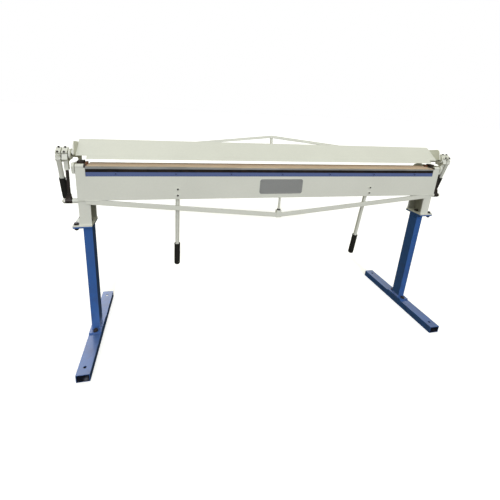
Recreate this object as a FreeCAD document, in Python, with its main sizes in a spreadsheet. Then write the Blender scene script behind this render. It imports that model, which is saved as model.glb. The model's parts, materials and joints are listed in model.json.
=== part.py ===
import FreeCAD, Part, Sketcher
import os
import re

# Straight hand brake for sheet metal on its own two-legged stand.
# X runs along the bed, Y points to the back, Z is up. The origin is on the
# floor, midway between the two feet. Lengths are millimetres, angles degrees.
# The clamp leaf is drawn shut, measured from its heel pivot, and then placed
# open by its own placement. The bending leaf is drawn hanging straight down.

SIZES = {
    # stand
    "foot_length": 610.0,
    "foot_width": 60.0,
    "foot_height": 40.0,
    "tube_wall": 3.0,
    "anchor_hole": 14.0,
    "anchor_inset": 41.0,
    "base_plate_length": 120.0,
    "base_plate_thick": 8.0,
    "base_bolt_inset": 13.5,
    "post_width": 40.0,
    "post_depth": 60.0,
    "post_length": 591.0,
    "flange_inner_reach": 27.0,
    "flange_outer_reach": 58.0,
    "flange_depth": 116.0,
    "flange_thick": 8.0,
    "flange_bolt_out": 44.0,
    "flange_bolt_side": 44.0,
    "flange_bolt_in": 5.5,
    "column_width": 52.0,
    "column_depth": 106.0,
    "column_wall": 6.0,
    "column_gap": 2.0,
    "bolt_radius": 6.0,
    "bolt_head_radius": 10.5,
    "bolt_head_height": 7.5,
    "bolt_collar_radius": 12.0,
    "bolt_collar_height": 2.0,
    "nut_height": 10.0,
    "bolt_clearance": 0.3,
    # bed
    "bed_length": 1872.0,
    "beam_lift": 157.0,
    "beam_height": 110.0,
    "beam_depth": 60.0,
    "beam_wall": 5.0,
    "beam_back": 36.0,
    "bed_plate_thick": 16.0,
    "bed_depth": 90.0,
    "bed_relief": 0.5,
    # end plates
    "end_room": 44.0,
    "end_plate_thick": 12.0,
    "hinge_forward": 54.0,
    "hinge_lobe": 15.0,
    "heel_back": 105.0,
    "heel_drop": 32.5,
    "heel_lobe": 30.0,
    "heel_pin_radius": 9.0,
    "heel_head_radius": 13.0,
    "heel_head_length": 8.0,
    "tab_forward": 15.0,
    "tab_back": 40.0,
    "tab_drop": 108.0,
    "plate_nose_forward": 62.0,
    "plate_nose_drop": 33.0,
    "plate_nose_rise": 9.0,
    "tab_screw_inset": 14.0,
    "tab_screw_pitch": 34.0,
    "tab_screw_radius": 4.0,
    "tab_screw_head": 7.0,
    "tab_screw_head_height": 2.5,
    "stop_block_width": 28.0,
    "stop_block_depth": 31.0,
    "stop_block_height": 14.0,
    "stop_block_forward": 20.0,
    "buffer_width": 12.0,
    "buffer_depth": 20.0,
    "buffer_height": 25.0,
    "buffer_room": 2.0,
    "buffer_forward": 4.0,
    # hinge of the bending leaf
    "hinge_pin_radius": 6.0,
    "pin_head_radius": 8.0,
    "pin_head_length": 6.5,
    "barrel_radius": 11.0,
    "barrel_length": 35.0,
    "barrel_gap": 2.0,
    "running_fit": 0.05,
    # bending leaf
    "apron_thick": 8.0,
    "apron_set_out": 2.0,
    "apron_drop": 160.0,
    "apron_end_room": 1.0,
    "apron_ear_drop": 4.0,
    "bending_bar_height": 25.0,
    "packing_bar_height": 20.0,
    "packing_bar_thick": 6.0,
    "bar_screw_pitch": 270.0,
    "bar_screw_drop": 32.0,
    "bar_screw_radius": 3.0,
    "bar_screw_head": 5.0,
    "bar_screw_head_height": 4.0,
    "stiffener_half": 900.0,
    "stiffener_depth": 26.0,
    "stiffener_height": 40.0,
    "stiffener_drop": 53.0,
    "stiffener_wall": 5.0,
    "apron_truss_half": 945.0,
    "apron_truss_thick": 10.0,
    "apron_truss_height": 24.0,
    "apron_truss_sag": 111.0,
    "apron_truss_rise": 93.1,
    "truss_boss_half": 14.0,
    "truss_boss_thick": 18.0,
    "truss_boss_height": 41.0,
    "truss_stud_radius": 6.0,
    "truss_stud_depth": 20.0,
    "truss_nut_radius": 10.5,
    "truss_nut_height": 6.0,
    # handles of the bending leaf
    "handle_spread": 531.0,
    "handle_radius": 10.0,
    "handle_wall": 2.0,
    "handle_lean": 5.9,
    "handle_top_drop": 104.0,
    "handle_length": 444.0,
    "handle_back": 14.0,
    "handle_screw_drop": 108.0,
    "handle_screw_pitch": 31.0,
    "handle_screw_radius": 4.0,
    "handle_screw_head": 7.0,
    "handle_screw_head_height": 5.0,
    "handle_tap_depth": 2.5,
    "handle_block_width": 30.0,
    "handle_block_thick": 10.0,
    "handle_block_height": 60.0,
    "handle_block_drop": 96.0,
    "grip_radius": 15.0,
    "grip_length": 128.0,
    "grip_collar_radius": 15.8,
    "grip_collar_length": 3.0,
    # plain plate on the front of the bending leaf
    "name_plate_length": 236.0,
    "name_plate_height": 78.0,
    "name_plate_thick": 2.0,
    "name_plate_drop": 59.0,
    "name_plate_corner": 12.0,
    "name_screw_radius": 3.0,
    "name_screw_length": 1.5,
    "name_screw_inset": 10.0,
    # clamp leaf, shut, measured from the heel pivot
    "open_angle": 10.91,
    "leaf_gap": 0.3,
    "nose_setback": 2.0,
    "nose_end_room": 1.0,
    "nose_thick": 16.0,
    "nose_depth": 68.0,
    "nose_angle": 40.0,
    "nose_bevel_height": 7.4,
    "face_angle": 48.4,
    "face_thick": 8.0,
    "face_rise": 96.0,
    "leaf_end_gap": 2.0,
    "leaf_base_thick": 8.0,
    "leaf_base_back": 35.0,
    "cheek_thick": 6.0,
    "cheek_lift": 3.6,
    "cheek_height": 61.6,
    "cheek_foot_forward": 7.0,
    "cheek_top_forward": 70.0,
    "cheek_corner": 10.0,
    "rib_thick": 8.0,
    "rib_pitch": 310.0,
    "rib_end": 900.0,
    "rib_depth": 60.0,
    "leaf_truss_back": 19.0,
    "leaf_truss_thick": 12.0,
    "leaf_truss_height": 14.0,
    "leaf_truss_half": 900.0,
    "leaf_truss_apex": 179.0,
    "leaf_truss_fall": 95.4,
    "leaf_lug_length": 30.0,
    "leaf_post_radius": 8.0,
    "leaf_post_sink": 6.0,
    # arms, cranks and links outside the end plates
    "arm_gap": 3.0,
    "arm_thick": 8.0,
    "arm_half_width": 15.0,
    "arm_head_radius": 24.0,
    "arm_heel_radius": 22.0,
    "arm_block_width": 20.0,
    "arm_block_height": 18.0,
    "crank_reach": 145.2,
    "crank_rise": 56.0,
    "crank_throw": 13.7,
    "crank_pin_radius": 8.0,
    "journal_radius": 10.0,
    "outer_journal_radius": 7.0,
    "web_thick": 3.0,
    "web_gap": 0.5,
    "web_margin": 11.0,
    "head_width": 23.0,
    "head_gap": 1.0,
    "hub_width": 21.5,
    "head_front": 26.0,
    "head_front_drop": 22.0,
    "head_back": 33.0,
    "head_back_drop": 30.0,
    "head_back_corner": 5.0,
    "head_low": 36.0,
    "head_low_forward": 7.0,
    "cap_tilt": 36.0,
    "cap_seat": 11.3,
    "cap_front": 13.7,
    "cap_back": 23.4,
    "cap_thick": 6.0,
    "cap_groove": 4.0,
    "cap_neck": 14.0,
    "cap_bolt_radius": 2.5,
    "cap_bolt_head": 4.5,
    "cap_bolt_head_height": 4.0,
    "cap_bolt_depth": 6.0,
    "cap_bolt_inset": 4.0,
    "slot_front": 8.8,
    "slot_back": 19.5,
    "slot_low": 12.3,
    "slot_high": 9.3,
    "stud_forward": 35.0,
    "stud_drop": 168.0,
    "stud_radius": 8.0,
    "stud_head_radius": 12.0,
    "stud_head_length": 13.0,
    "stud_boss_radius": 12.0,
    "stud_boss_gap": 1.0,
    "stud_sink": 20.0,
    "link_hub_radius": 12.5,
    "link_hub_length": 29.0,
    "link_fan_rise": 36.0,
    "link_fan_half": 7.5,
    "link_fan_thick": 12.0,
    "link_rod_radius": 7.0,
    "shank_width": 18.0,
    "shank_drop": 22.0,
    # clamp handles, measured from the crank axis
    "clamp_handle_forward": 20.4,
    "clamp_handle_lean": 13.5,
    "clamp_handle_length": 219.0,
    "clamp_handle_radius": 10.0,
    "clamp_grip_radius": 13.5,
    "clamp_grip_length": 109.0,
    "grip_end_wall": 4.0,
}

# Places that follow from the sizes, each written once.
PLACES = {
    "base_top": "foot_height + base_plate_thick",
    "post_top": "base_top + post_length",
    "column_foot": "post_top + 2 * flange_thick",
    "beam_bottom": "column_foot + beam_lift",
    "beam_top": "beam_bottom + beam_height",
    "bed_top": "beam_top + bed_plate_thick",
    "column_top": "beam_top - column_gap",
    "bed_half": "bed_length / 2",
    "end_inner": "bed_half + end_room",
    "end_outer": "end_inner + end_plate_thick",
    "stand_x": "end_inner - column_width / 2",
    "hinge_y": "-hinge_forward",
    "heel_y": "heel_back",
    "heel_z": "bed_top - heel_drop",
    "tab_foot": "bed_top - tab_drop",
    "barrel_outer": "end_inner - barrel_gap",
    "barrel_inner": "barrel_outer - barrel_length",
    "apron_back": "hinge_y - apron_set_out",
    "apron_front": "apron_back - apron_thick",
    "apron_bottom": "bed_top - apron_drop",
    "recess_z": "bed_top - bending_bar_height - packing_bar_height",
    "ear_inner": "bed_half + apron_end_room",
    "handle_axis_y": "apron_back + handle_back",
    "handle_top": "bed_top - handle_top_drop",
    "leaf_floor": "heel_drop + leaf_gap",
    "leaf_deck": "leaf_floor + nose_thick",
    "leaf_roof": "leaf_deck + leaf_base_thick",
    "nose_reach": "heel_back + hinge_forward - nose_setback",
    "face_foot": "nose_thick / tan(face_angle) - nose_reach",
    "face_slab": "face_thick / sin(face_angle)",
    "face_top_y": "face_rise / tan(face_angle) - nose_reach",
    "face_top_z": "leaf_floor + face_rise",
    "leaf_half": "end_inner + leaf_end_gap",
    "leaf_outer": "leaf_half + cheek_thick",
    "cheek_foot": "leaf_deck + cheek_lift",
    "cheek_top": "cheek_foot + cheek_height",
    "arm_inner": "end_outer + arm_gap",
    "arm_outer": "arm_inner + arm_thick",
    "web_inner": "arm_outer + web_gap",
    "head_inner": "web_inner + web_thick + head_gap",
    "head_outer": "head_inner + head_width",
    "outer_web": "head_outer + head_gap",
    "hub_inner": "outer_web + web_thick",
    "hub_outer": "hub_inner + hub_width",
    "crank_y": "heel_y - crank_reach * cos(open_angle) + crank_rise * sin(open_angle)",
    "crank_z": "heel_z + crank_reach * sin(open_angle) + crank_rise * cos(open_angle)",
    "stud_y": "-stud_forward",
    "stud_z": "bed_top - stud_drop",
    "link_line": "sqrt((crank_y - stud_y)^2 + (crank_z - stud_z)^2)",
    "link_tip": "(crank_y - stud_y) / link_line",
    "link_up": "(crank_z - stud_z) / link_line",
    "pin_y": "crank_y - crank_throw * link_tip",
    "pin_z": "crank_z - crank_throw * link_up",
    "boss_outer": "head_inner - stud_boss_gap * 2",
    "link_hub_inner": "boss_outer + stud_boss_gap",
    "link_hub_outer": "link_hub_inner + link_hub_length",
    "shank_foot": "bed_top - shank_drop",
    "head_middle": "(head_inner + head_outer) / 2",
    "hub_middle": "(hub_inner + hub_outer) / 2",
}

SIDES = (("left", -1), ("right", 1))

doc = FreeCAD.newDocument("HandBrake")


def named(text):
    """Return an expression with each name led by the sheet that holds it."""
    def lead(match):
        word = match.group(0)
        if word in SIZES:
            return "Sizes." + word
        if word in PLACES:
            return "Places." + word
        return word
    return re.sub(r"[a-z_]+[a-z]", lead, text)


def fill(title, rows):
    """Make a sheet with one named row per entry."""
    sheet = doc.addObject("Spreadsheet::Sheet", title)
    for row, (name, content) in enumerate(rows.items(), start=1):
        sheet.set(f"A{row}", name)
        sheet.set(f"B{row}", str(content) if isinstance(content, float) else "=" + named(content))
        sheet.setAlias(f"B{row}", name)
        doc.recompute()
    return sheet


sizes = fill("Sizes", SIZES)
places = fill("Places", PLACES)
doc.recompute()
nodes = {}


def value(text):
    """Return the number that an expression gives."""
    result = sizes.evalExpression(named(text))
    return float(getattr(result, "Value", result))


def bind(item, path, text):
    item.setExpression(path, named(text))


def put(item, x="", y="", z="", axis=None, angle=""):
    """Place an object at named coordinates, turned about one axis."""
    if axis:
        item.Placement = FreeCAD.Placement(FreeCAD.Vector(), FreeCAD.Rotation(axis, value(angle)))
        bind(item, "Placement.Rotation.Angle", angle)
    for path, text in (("x", x), ("y", y), ("z", z)):
        if text:
            bind(item, "Placement.Base." + path, text)
    return item


ALONG_X = FreeCAD.Vector(1, 0, 0)
ALONG_Y = FreeCAD.Vector(0, 1, 0)


def node(name, item):
    """Name a finished piece. Its label is its file's name."""
    item.Label = name
    nodes[name] = item
    return item


def box(name, x, y, z):
    """Make a block from three pairs of limits."""
    item = doc.addObject("Part::Box", name)
    for path, (low, high) in (("Length", x), ("Width", y), ("Height", z)):
        bind(item, path, f"({high}) - ({low})")
    return put(item, x[0], y[0], z[0])


def rod_x(name, limits, y, z, radius):
    """Make a round bar that runs along X."""
    item = doc.addObject("Part::Cylinder", name)
    bind(item, "Radius", radius)
    bind(item, "Height", f"({limits[1]}) - ({limits[0]})")
    return put(item, limits[0], y, z, ALONG_Y, "90")


def rod_y(name, x, limits, z, radius):
    """Make a round bar that runs along Y."""
    item = doc.addObject("Part::Cylinder", name)
    bind(item, "Radius", radius)
    bind(item, "Height", f"({limits[1]}) - ({limits[0]})")
    return put(item, x, limits[0], z, ALONG_X, "-90")


def rod_z(name, x, y, limits, radius, tilt=""):
    """Make an upright round bar, or one tilted about X from its foot."""
    item = doc.addObject("Part::Cylinder", name)
    bind(item, "Radius", radius)
    bind(item, "Height", f"({limits[1]}) - ({limits[0]})")
    return put(item, x, y, limits[0], ALONG_X if tilt else None, tilt)


def hexagon(name, x, y, limits, radius):
    """Make an upright hexagonal head or nut."""
    item = doc.addObject("Part::Prism", name)
    item.Polygon = 6
    bind(item, "Circumradius", radius)
    bind(item, "Height", f"({limits[1]}) - ({limits[0]})")
    return put(item, x, y, limits[0])


def hexagon_x(name, limits, y, z, radius):
    """Make a hexagonal head whose axis runs along X."""
    item = doc.addObject("Part::Prism", name)
    item.Polygon = 6
    bind(item, "Circumradius", radius)
    bind(item, "Height", f"({limits[1]}) - ({limits[0]})")
    return put(item, limits[0], y, z, ALONG_Y, "90")


def outline(name, plane, points, thickness):
    """Pad a closed outline, drawn on one origin plane of its own body."""
    body = doc.addObject("PartDesign::Body", name)
    sketch = body.newObject("Sketcher::SketchObject", name + "_outline")
    face = [f for f in body.Origin.OriginFeatures if f.Role == plane][0]
    sketch.AttachmentSupport = (face, [""])
    sketch.MapMode = "FlatFace"
    corners = [FreeCAD.Vector(value(a), value(b), 0) for a, b in points]
    for index, corner in enumerate(corners):
        after = corners[(index + 1) % len(corners)]
        sketch.addGeometry(Part.LineSegment(corner, after), False)
    for index in range(len(corners)):
        after = (index + 1) % len(corners)
        sketch.addConstraint(Sketcher.Constraint("Coincident", index, 2, after, 1))
    for index, (across, up) in enumerate(points):
        for kind, text in (("DistanceX", across), ("DistanceY", up)):
            rule = Sketcher.Constraint(kind, -1, 1, index, 1, value(text))
            number = sketch.addConstraint(rule)
            bind(sketch, f"Constraints[{number}]", text)
    pad = body.newObject("PartDesign::Pad", name + "_pad")
    pad.Profile = sketch
    bind(pad, "Length", thickness)
    return body


def slab(name, limits, points):
    """Make a plate from an outline seen along X, between two X places."""
    body = outline(name, "YZ_Plane", points, f"({limits[1]}) - ({limits[0]})")
    return put(body, x=limits[0])


def curtain(name, limits, points):
    """Make a plate from an outline seen along Y, between two Y places."""
    body = outline(name, "XZ_Plane", points, f"({limits[1]}) - ({limits[0]})")
    return put(body, y=limits[1])


def fuse(name, items):
    item = doc.addObject("Part::MultiFuse", name)
    item.Shapes = items
    return item


def cut(name, base, tool):
    item = doc.addObject("Part::Cut", name)
    item.Base = base
    item.Tool = tool
    return item


def group(name, items):
    item = doc.addObject("Part::Compound", name)
    item.Links = items
    return item


def span(sign, inner, outer):
    """Return the X limits of a piece on one side, the lower one first."""
    return (inner, outer) if sign > 0 else (f"-({outer})", f"-({inner})")


def mirror(sign, text):
    return text if sign > 0 else f"-({text})"


def shut_to_open(item):
    """Turn a piece of the clamp leaf about the heel pivot, from shut to open."""
    return put(item, y="heel_y", z="heel_z", axis=ALONG_X, angle="-open_angle")


def bolt(name, x, y, seat, depth):
    """Make a hexagon bolt that stands on a seat and reaches down from it."""
    collar = rod_z(name + "_collar", x, y, (seat, f"{seat} + bolt_collar_height"), "bolt_collar_radius")
    head = hexagon(name + "_head", x, y,
                   (f"{seat} + bolt_collar_height", f"{seat} + bolt_collar_height + bolt_head_height"),
                   "bolt_head_radius")
    shank = rod_z(name + "_shank", x, y, (f"{seat} - ({depth})", seat), "bolt_radius")
    return fuse(name, [collar, head, shank])


def bolt_hole(name, x, y, limits):
    return rod_z(name, x, y, limits, "bolt_radius + bolt_clearance")


# Stand.
base_bolts = []
flange_bolts = []
flange_nuts = []
for side, sign in SIDES:
    centre = mirror(sign, "stand_x")

    # Foot: open box tube on the floor with an anchor hole near each end.
    foot_x = (f"{centre} - foot_width / 2", f"{centre} + foot_width / 2")
    foot_y = ("-foot_length / 2", "foot_length / 2")
    skin = box(side + "_foot_skin", foot_x, foot_y, ("0", "foot_height"))
    core_x = (f"{centre} - foot_width / 2 + tube_wall", f"{centre} + foot_width / 2 - tube_wall")
    hollow = box(side + "_foot_core", core_x, foot_y, ("tube_wall", "foot_height - tube_wall"))
    cuts = [hollow]
    for end, end_sign in (("front", "-"), ("back", "")):
        anchor_y = f"{end_sign}(foot_length / 2 - anchor_inset)"
        cuts.append(rod_z(f"{side}_{end}_anchor", centre, anchor_y, ("0", "foot_height"), "anchor_hole / 2"))
        bolt_y = f"{end_sign}(base_plate_length / 2 - base_bolt_inset)"
        base_bolts.append(bolt(f"{side}_{end}_base_bolt", centre, bolt_y, "base_top",
                               "base_plate_thick + tube_wall"))
        cuts.append(bolt_hole(f"{side}_{end}_foot_hole", centre, bolt_y,
                              ("foot_height - tube_wall", "foot_height")))
    node(side + "_foot", cut(side + "_foot", skin, fuse(side + "_foot_cuts", cuts)))

    # Post: box tube between a base plate and the lower flange, welded up.
    flange_x = span(sign, "stand_x - flange_inner_reach", "stand_x + flange_outer_reach")
    flange_y = ("-flange_depth / 2", "flange_depth / 2")
    post_parts = [
        box(side + "_base_plate", foot_x, ("-base_plate_length / 2", "base_plate_length / 2"),
            ("foot_height", "base_top")),
        box(side + "_post_skin", (f"{centre} - post_width / 2", f"{centre} + post_width / 2"),
            ("-post_depth / 2", "post_depth / 2"), ("base_top", "post_top")),
        box(side + "_post_flange", flange_x, flange_y, ("post_top", "post_top + flange_thick")),
    ]
    post_cuts = [box(side + "_post_core",
                     (f"{centre} - post_width / 2 + tube_wall", f"{centre} + post_width / 2 - tube_wall"),
                     ("tube_wall - post_depth / 2", "post_depth / 2 - tube_wall"),
                     ("base_top", "post_top"))]
    column_cuts = []
    bolt_spots = (
        ("front", mirror(sign, "stand_x + flange_bolt_out"), "-flange_bolt_side"),
        ("back", mirror(sign, "stand_x + flange_bolt_out"), "flange_bolt_side"),
        ("inner", mirror(sign, "stand_x - flange_bolt_in"), "0"),
    )
    for spot, x, y in bolt_spots:
        tag = f"{side}_{spot}_flange"
        flange_bolts.append(bolt(tag + "_bolt", x, y, "column_foot", "2 * flange_thick + nut_height"))
        nut = hexagon(tag + "_nut_body", x, y, ("post_top - nut_height", "post_top"), "bolt_head_radius")
        bore = rod_z(tag + "_nut_bore", x, y, ("post_top - nut_height", "post_top"), "bolt_radius")
        flange_nuts.append(cut(tag + "_nut", nut, bore))
        post_cuts.append(bolt_hole(tag + "_low_hole", x, y, ("post_top", "post_top + flange_thick")))
        column_cuts.append(bolt_hole(tag + "_top_hole", x, y, ("post_top + flange_thick", "column_foot")))
    for end, end_sign in (("front", "-"), ("back", "")):
        bolt_y = f"{end_sign}(base_plate_length / 2 - base_bolt_inset)"
        post_cuts.append(bolt_hole(f"{side}_{end}_base_hole", centre, bolt_y, ("foot_height", "base_top")))
    node(side + "_post", cut(side + "_post", fuse(side + "_post_weldment", post_parts),
                             fuse(side + "_post_cuts", post_cuts)))

    # Column: channel open to the inside, on the upper flange, with the boss
    # of the clamp link's stud welded to the outside of its web.
    column_parts = [
        box(side + "_column_flange", flange_x, flange_y, ("post_top + flange_thick", "column_foot")),
        box(side + "_column_skin", span(sign, "end_inner - column_width", "end_inner"),
            ("-column_depth / 2", "column_depth / 2"), ("column_foot", "column_top")),
        rod_x(side + "_stud_boss", span(sign, "end_inner", "boss_outer"), "stud_y", "stud_z",
              "stud_boss_radius"),
    ]
    column_cuts.append(box(side + "_column_core",
                           span(sign, "end_inner - column_width", "end_inner - column_wall"),
                           ("column_wall - column_depth / 2", "column_depth / 2 - column_wall"),
                           ("column_foot", "column_top")))
    column_cuts.append(rod_x(side + "_stud_hole", span(sign, "boss_outer - stud_sink", "boss_outer"),
                             "stud_y", "stud_z", "stud_radius"))
    for row in (0, 1):
        z = f"tab_foot + tab_screw_inset + {row} * tab_screw_pitch"
        column_cuts.append(rod_x(f"{side}_column_tap_{row}",
                                 span(sign, "end_inner - column_wall", "end_inner"),
                                 "(tab_back - tab_forward) / 2", z, "tab_screw_radius"))
    node(side + "_column", cut(side + "_column", fuse(side + "_column_weldment", column_parts),
                               fuse(side + "_column_cuts", column_cuts)))
node("base_bolts", group("base_bolts", base_bolts))
node("flange_bolts", group("flange_bolts", flange_bolts))
node("flange_nuts", group("flange_nuts", flange_nuts))

# Bed.
beam_x = ("column_wall - end_inner", "end_inner - column_wall")
beam_y = ("beam_back - beam_depth", "beam_back")
beam_skin = box("beam_skin", beam_x, beam_y, ("beam_bottom", "beam_top"))
beam_core = box("beam_core", beam_x, ("beam_back - beam_depth + beam_wall", "beam_back - beam_wall"),
                ("beam_bottom + beam_wall", "beam_top - beam_wall"))
node("bed_beam", cut("bed_beam", beam_skin, beam_core))
bed_y = ("hinge_y + bed_relief", "hinge_y + bed_relief + bed_depth")
node("bed_top_plate", box("bed_top_plate", ("-bed_half", "bed_half"), bed_y, ("beam_top", "bed_top")))

# End plates, pins and stops.
tab_screws = []
hinge_pins = []
heel_pins = []
link_studs = []
stop_blocks = []
leaf_buffers = []
for side, sign in SIDES:
    plate_x = span(sign, "end_inner", "end_outer")
    plate_outline = [
        ("hinge_y", "bed_top + hinge_lobe"),
        ("heel_y", "heel_z + heel_lobe"),
        ("heel_y", "heel_z - heel_lobe"),
        ("tab_back", "heel_z - heel_lobe - plate_nose_rise"),
        ("tab_back", "tab_foot"),
        ("-tab_forward", "tab_foot"),
        ("-tab_forward", "bed_top - plate_nose_drop - plate_nose_rise"),
        ("-plate_nose_forward", "bed_top - plate_nose_drop"),
        ("hinge_y - hinge_lobe", "bed_top"),
    ]
    plate_parts = [
        slab(side + "_end_sheet", plate_x, plate_outline),
        rod_x(side + "_hinge_lobe", plate_x, "hinge_y", "bed_top", "hinge_lobe"),
        rod_x(side + "_heel_lobe", plate_x, "heel_y", "heel_z", "heel_lobe"),
    ]
    plate_cuts = [
        rod_x(side + "_hinge_bore", plate_x, "hinge_y", "bed_top", "hinge_pin_radius"),
        rod_x(side + "_heel_bore", plate_x, "heel_y", "heel_z", "heel_pin_radius"),
    ]
    for row in (0, 1):
        y = "(tab_back - tab_forward) / 2"
        z = f"tab_foot + tab_screw_inset + {row} * tab_screw_pitch"
        tag = f"{side}_tab_{row}"
        plate_cuts.append(rod_x(tag + "_hole", plate_x, y, z, "tab_screw_radius + bolt_clearance"))
        head_x = span(sign, "end_outer", "end_outer + tab_screw_head_height")
        head = hexagon_x(tag + "_screw_head", head_x, y, z, "tab_screw_head")
        shank = rod_x(tag + "_screw_shank", span(sign, "end_inner - column_wall", "end_outer"), y, z,
                      "tab_screw_radius")
        tab_screws.append(fuse(tag + "_screw", [head, shank]))
    node(side + "_end_plate", cut(side + "_end_plate", fuse(side + "_end_weldment", plate_parts),
                                  fuse(side + "_end_cuts", plate_cuts)))

    hinge_pins.append(fuse(side + "_hinge_pin", [
        rod_x(side + "_pin_head", span(sign, "barrel_inner - pin_head_length", "barrel_inner"),
              "hinge_y", "bed_top", "pin_head_radius"),
        rod_x(side + "_pin_shank", span(sign, "barrel_inner", "end_outer"), "hinge_y", "bed_top",
              "hinge_pin_radius"),
    ]))
    heel_pins.append(fuse(side + "_heel_pin", [
        rod_x(side + "_heel_shank", span(sign, "end_inner", "arm_outer + web_gap"), "heel_y", "heel_z",
              "heel_pin_radius"),
        rod_x(side + "_heel_head",
              span(sign, "arm_outer + web_gap", "arm_outer + web_gap + heel_head_length"),
              "heel_y", "heel_z", "heel_head_radius"),
    ]))
    link_studs.append(fuse(side + "_link_stud", [
        rod_x(side + "_stud_shank",
              span(sign, "boss_outer - stud_sink", "link_hub_outer + stud_boss_gap / 2"),
              "stud_y", "stud_z", "stud_radius"),
        hexagon_x(side + "_stud_head",
                  span(sign, "link_hub_outer + stud_boss_gap / 2",
                       "link_hub_outer + stud_boss_gap / 2 + stud_head_length"),
                  "stud_y", "stud_z", "stud_head_radius"),
    ]))

    # Stop block under the clamp leaf, on the inner face of the end plate.
    block_top = "bed_top + nose_thick"
    stop_blocks.append(box(side + "_stop_block", span(sign, "end_inner - stop_block_width", "end_inner"),
                           ("-stop_block_forward", "stop_block_depth - stop_block_forward"),
                           (f"{block_top} - stop_block_height", block_top)))
    buffer_x = span(sign, "bed_half + buffer_room", "bed_half + buffer_room + buffer_width")
    leaf_buffers.append(box(side + "_leaf_buffer", buffer_x,
                            ("-buffer_forward", "buffer_depth - buffer_forward"),
                            ("beam_top", "beam_top + buffer_height")))
node("end_plate_screws", group("end_plate_screws", tab_screws))
node("hinge_pins", group("hinge_pins", hinge_pins))
node("heel_pins", group("heel_pins", heel_pins))
node("link_studs", group("link_studs", link_studs))
node("stop_blocks", group("stop_blocks", stop_blocks))
node("leaf_buffers", group("leaf_buffers", leaf_buffers))

# Bending leaf.
apron_y = ("apron_front", "apron_back")
apron_sheet = curtain("apron_sheet", apron_y, [
    ("-barrel_outer", "apron_bottom"),
    ("barrel_outer", "apron_bottom"),
    ("barrel_outer", "bed_top - apron_ear_drop"),
    ("ear_inner", "bed_top - apron_ear_drop"),
    ("ear_inner", "recess_z"),
    ("-ear_inner", "recess_z"),
    ("-ear_inner", "bed_top - apron_ear_drop"),
    ("-barrel_outer", "bed_top - apron_ear_drop"),
])
apron_cuts = []
handle_screws = []
handle_blocks = []
for side, sign in SIDES:
    head_room = span(sign, "ear_inner - apron_end_room", "barrel_inner")
    apron_cuts.append(rod_x(side + "_pin_head_room", head_room, "hinge_y", "bed_top",
                            "barrel_radius + bolt_clearance"))
    barrel_x = span(sign, "barrel_inner", "barrel_outer")
    apron_cuts.append(rod_x(side + "_barrel_seat", barrel_x, "hinge_y", "bed_top", "barrel_radius"))
    barrel = rod_x(side + "_barrel_body", barrel_x, "hinge_y", "bed_top", "barrel_radius")
    bore = rod_x(side + "_barrel_bore", barrel_x, "hinge_y", "bed_top", "hinge_pin_radius + running_fit")
    node(side + "_hinge_barrel", cut(side + "_hinge_barrel", barrel, bore))

    # Handle tube on a saddle block behind the leaf, held by two screws.
    handle_x = mirror(sign, "handle_spread")
    shaft = rod_z(side + "_handle_shaft", handle_x, "handle_axis_y",
                  ("handle_top", "handle_top + handle_length"), "handle_radius", "180 + handle_lean")
    core = rod_z(side + "_handle_core", handle_x, "handle_axis_y",
                 ("handle_top", "handle_top + handle_length"), "handle_radius - handle_wall",
                 "180 + handle_lean")
    node(side + "_apron_handle", cut(side + "_apron_handle", shaft, core))
    block = box(side + "_handle_block_body",
                (f"{handle_x} - handle_block_width / 2", f"{handle_x} + handle_block_width / 2"),
                ("apron_back", "apron_back + handle_block_thick"),
                ("bed_top - handle_block_drop - handle_block_height", "bed_top - handle_block_drop"))
    screw_cuts = [shaft]
    for row in (0, 1):
        z = f"bed_top - handle_screw_drop - {row} * handle_screw_pitch"
        tag = f"{side}_handle_{row}"
        screw_end = "apron_back + handle_tap_depth"
        screw_cuts.append(rod_y(tag + "_tap", handle_x, ("apron_back", screw_end), z,
                                "handle_screw_radius"))
        apron_cuts.append(rod_y(tag + "_hole", handle_x, apron_y, z,
                                "handle_screw_radius + bolt_clearance"))
        head = rod_y(tag + "_screw_head", handle_x,
                     ("apron_front - handle_screw_head_height", "apron_front"), z, "handle_screw_head")
        shank = rod_y(tag + "_screw_shank", handle_x, ("apron_front", screw_end), z,
                      "handle_screw_radius")
        handle_screws.append(fuse(tag + "_screw", [head, shank]))
    handle_blocks.append(cut(side + "_handle_block", block, fuse(side + "_block_cuts", screw_cuts)))

    # Rubber grip: a sleeve over the lower end with a closed tip and a collar.
    lean_y = "sin(handle_lean)"
    lean_z = "cos(handle_lean)"
    grip_start = "(handle_length - grip_length + grip_end_wall)"
    grip_parts = []
    for tag, start, length, radius in (
            ("sleeve", grip_start, "grip_length", "grip_radius"),
            ("collar", grip_start, "grip_collar_length", "grip_collar_radius")):
        grip_parts.append(rod_z(f"{side}_grip_{tag}", handle_x, f"handle_axis_y + {start} * {lean_y}",
                                (f"handle_top - {start} * {lean_z}",
                                 f"handle_top - {start} * {lean_z} + {length}"),
                                radius, "180 + handle_lean"))
    node(side + "_apron_grip", cut(side + "_apron_grip", fuse(side + "_grip_body", grip_parts), shaft))
node("apron_handle_blocks", group("apron_handle_blocks", handle_blocks))
node("handle_screws", group("handle_screws", handle_screws))
node("apron_plate", cut("apron_plate", apron_sheet, fuse("apron_cuts", apron_cuts)))

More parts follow.
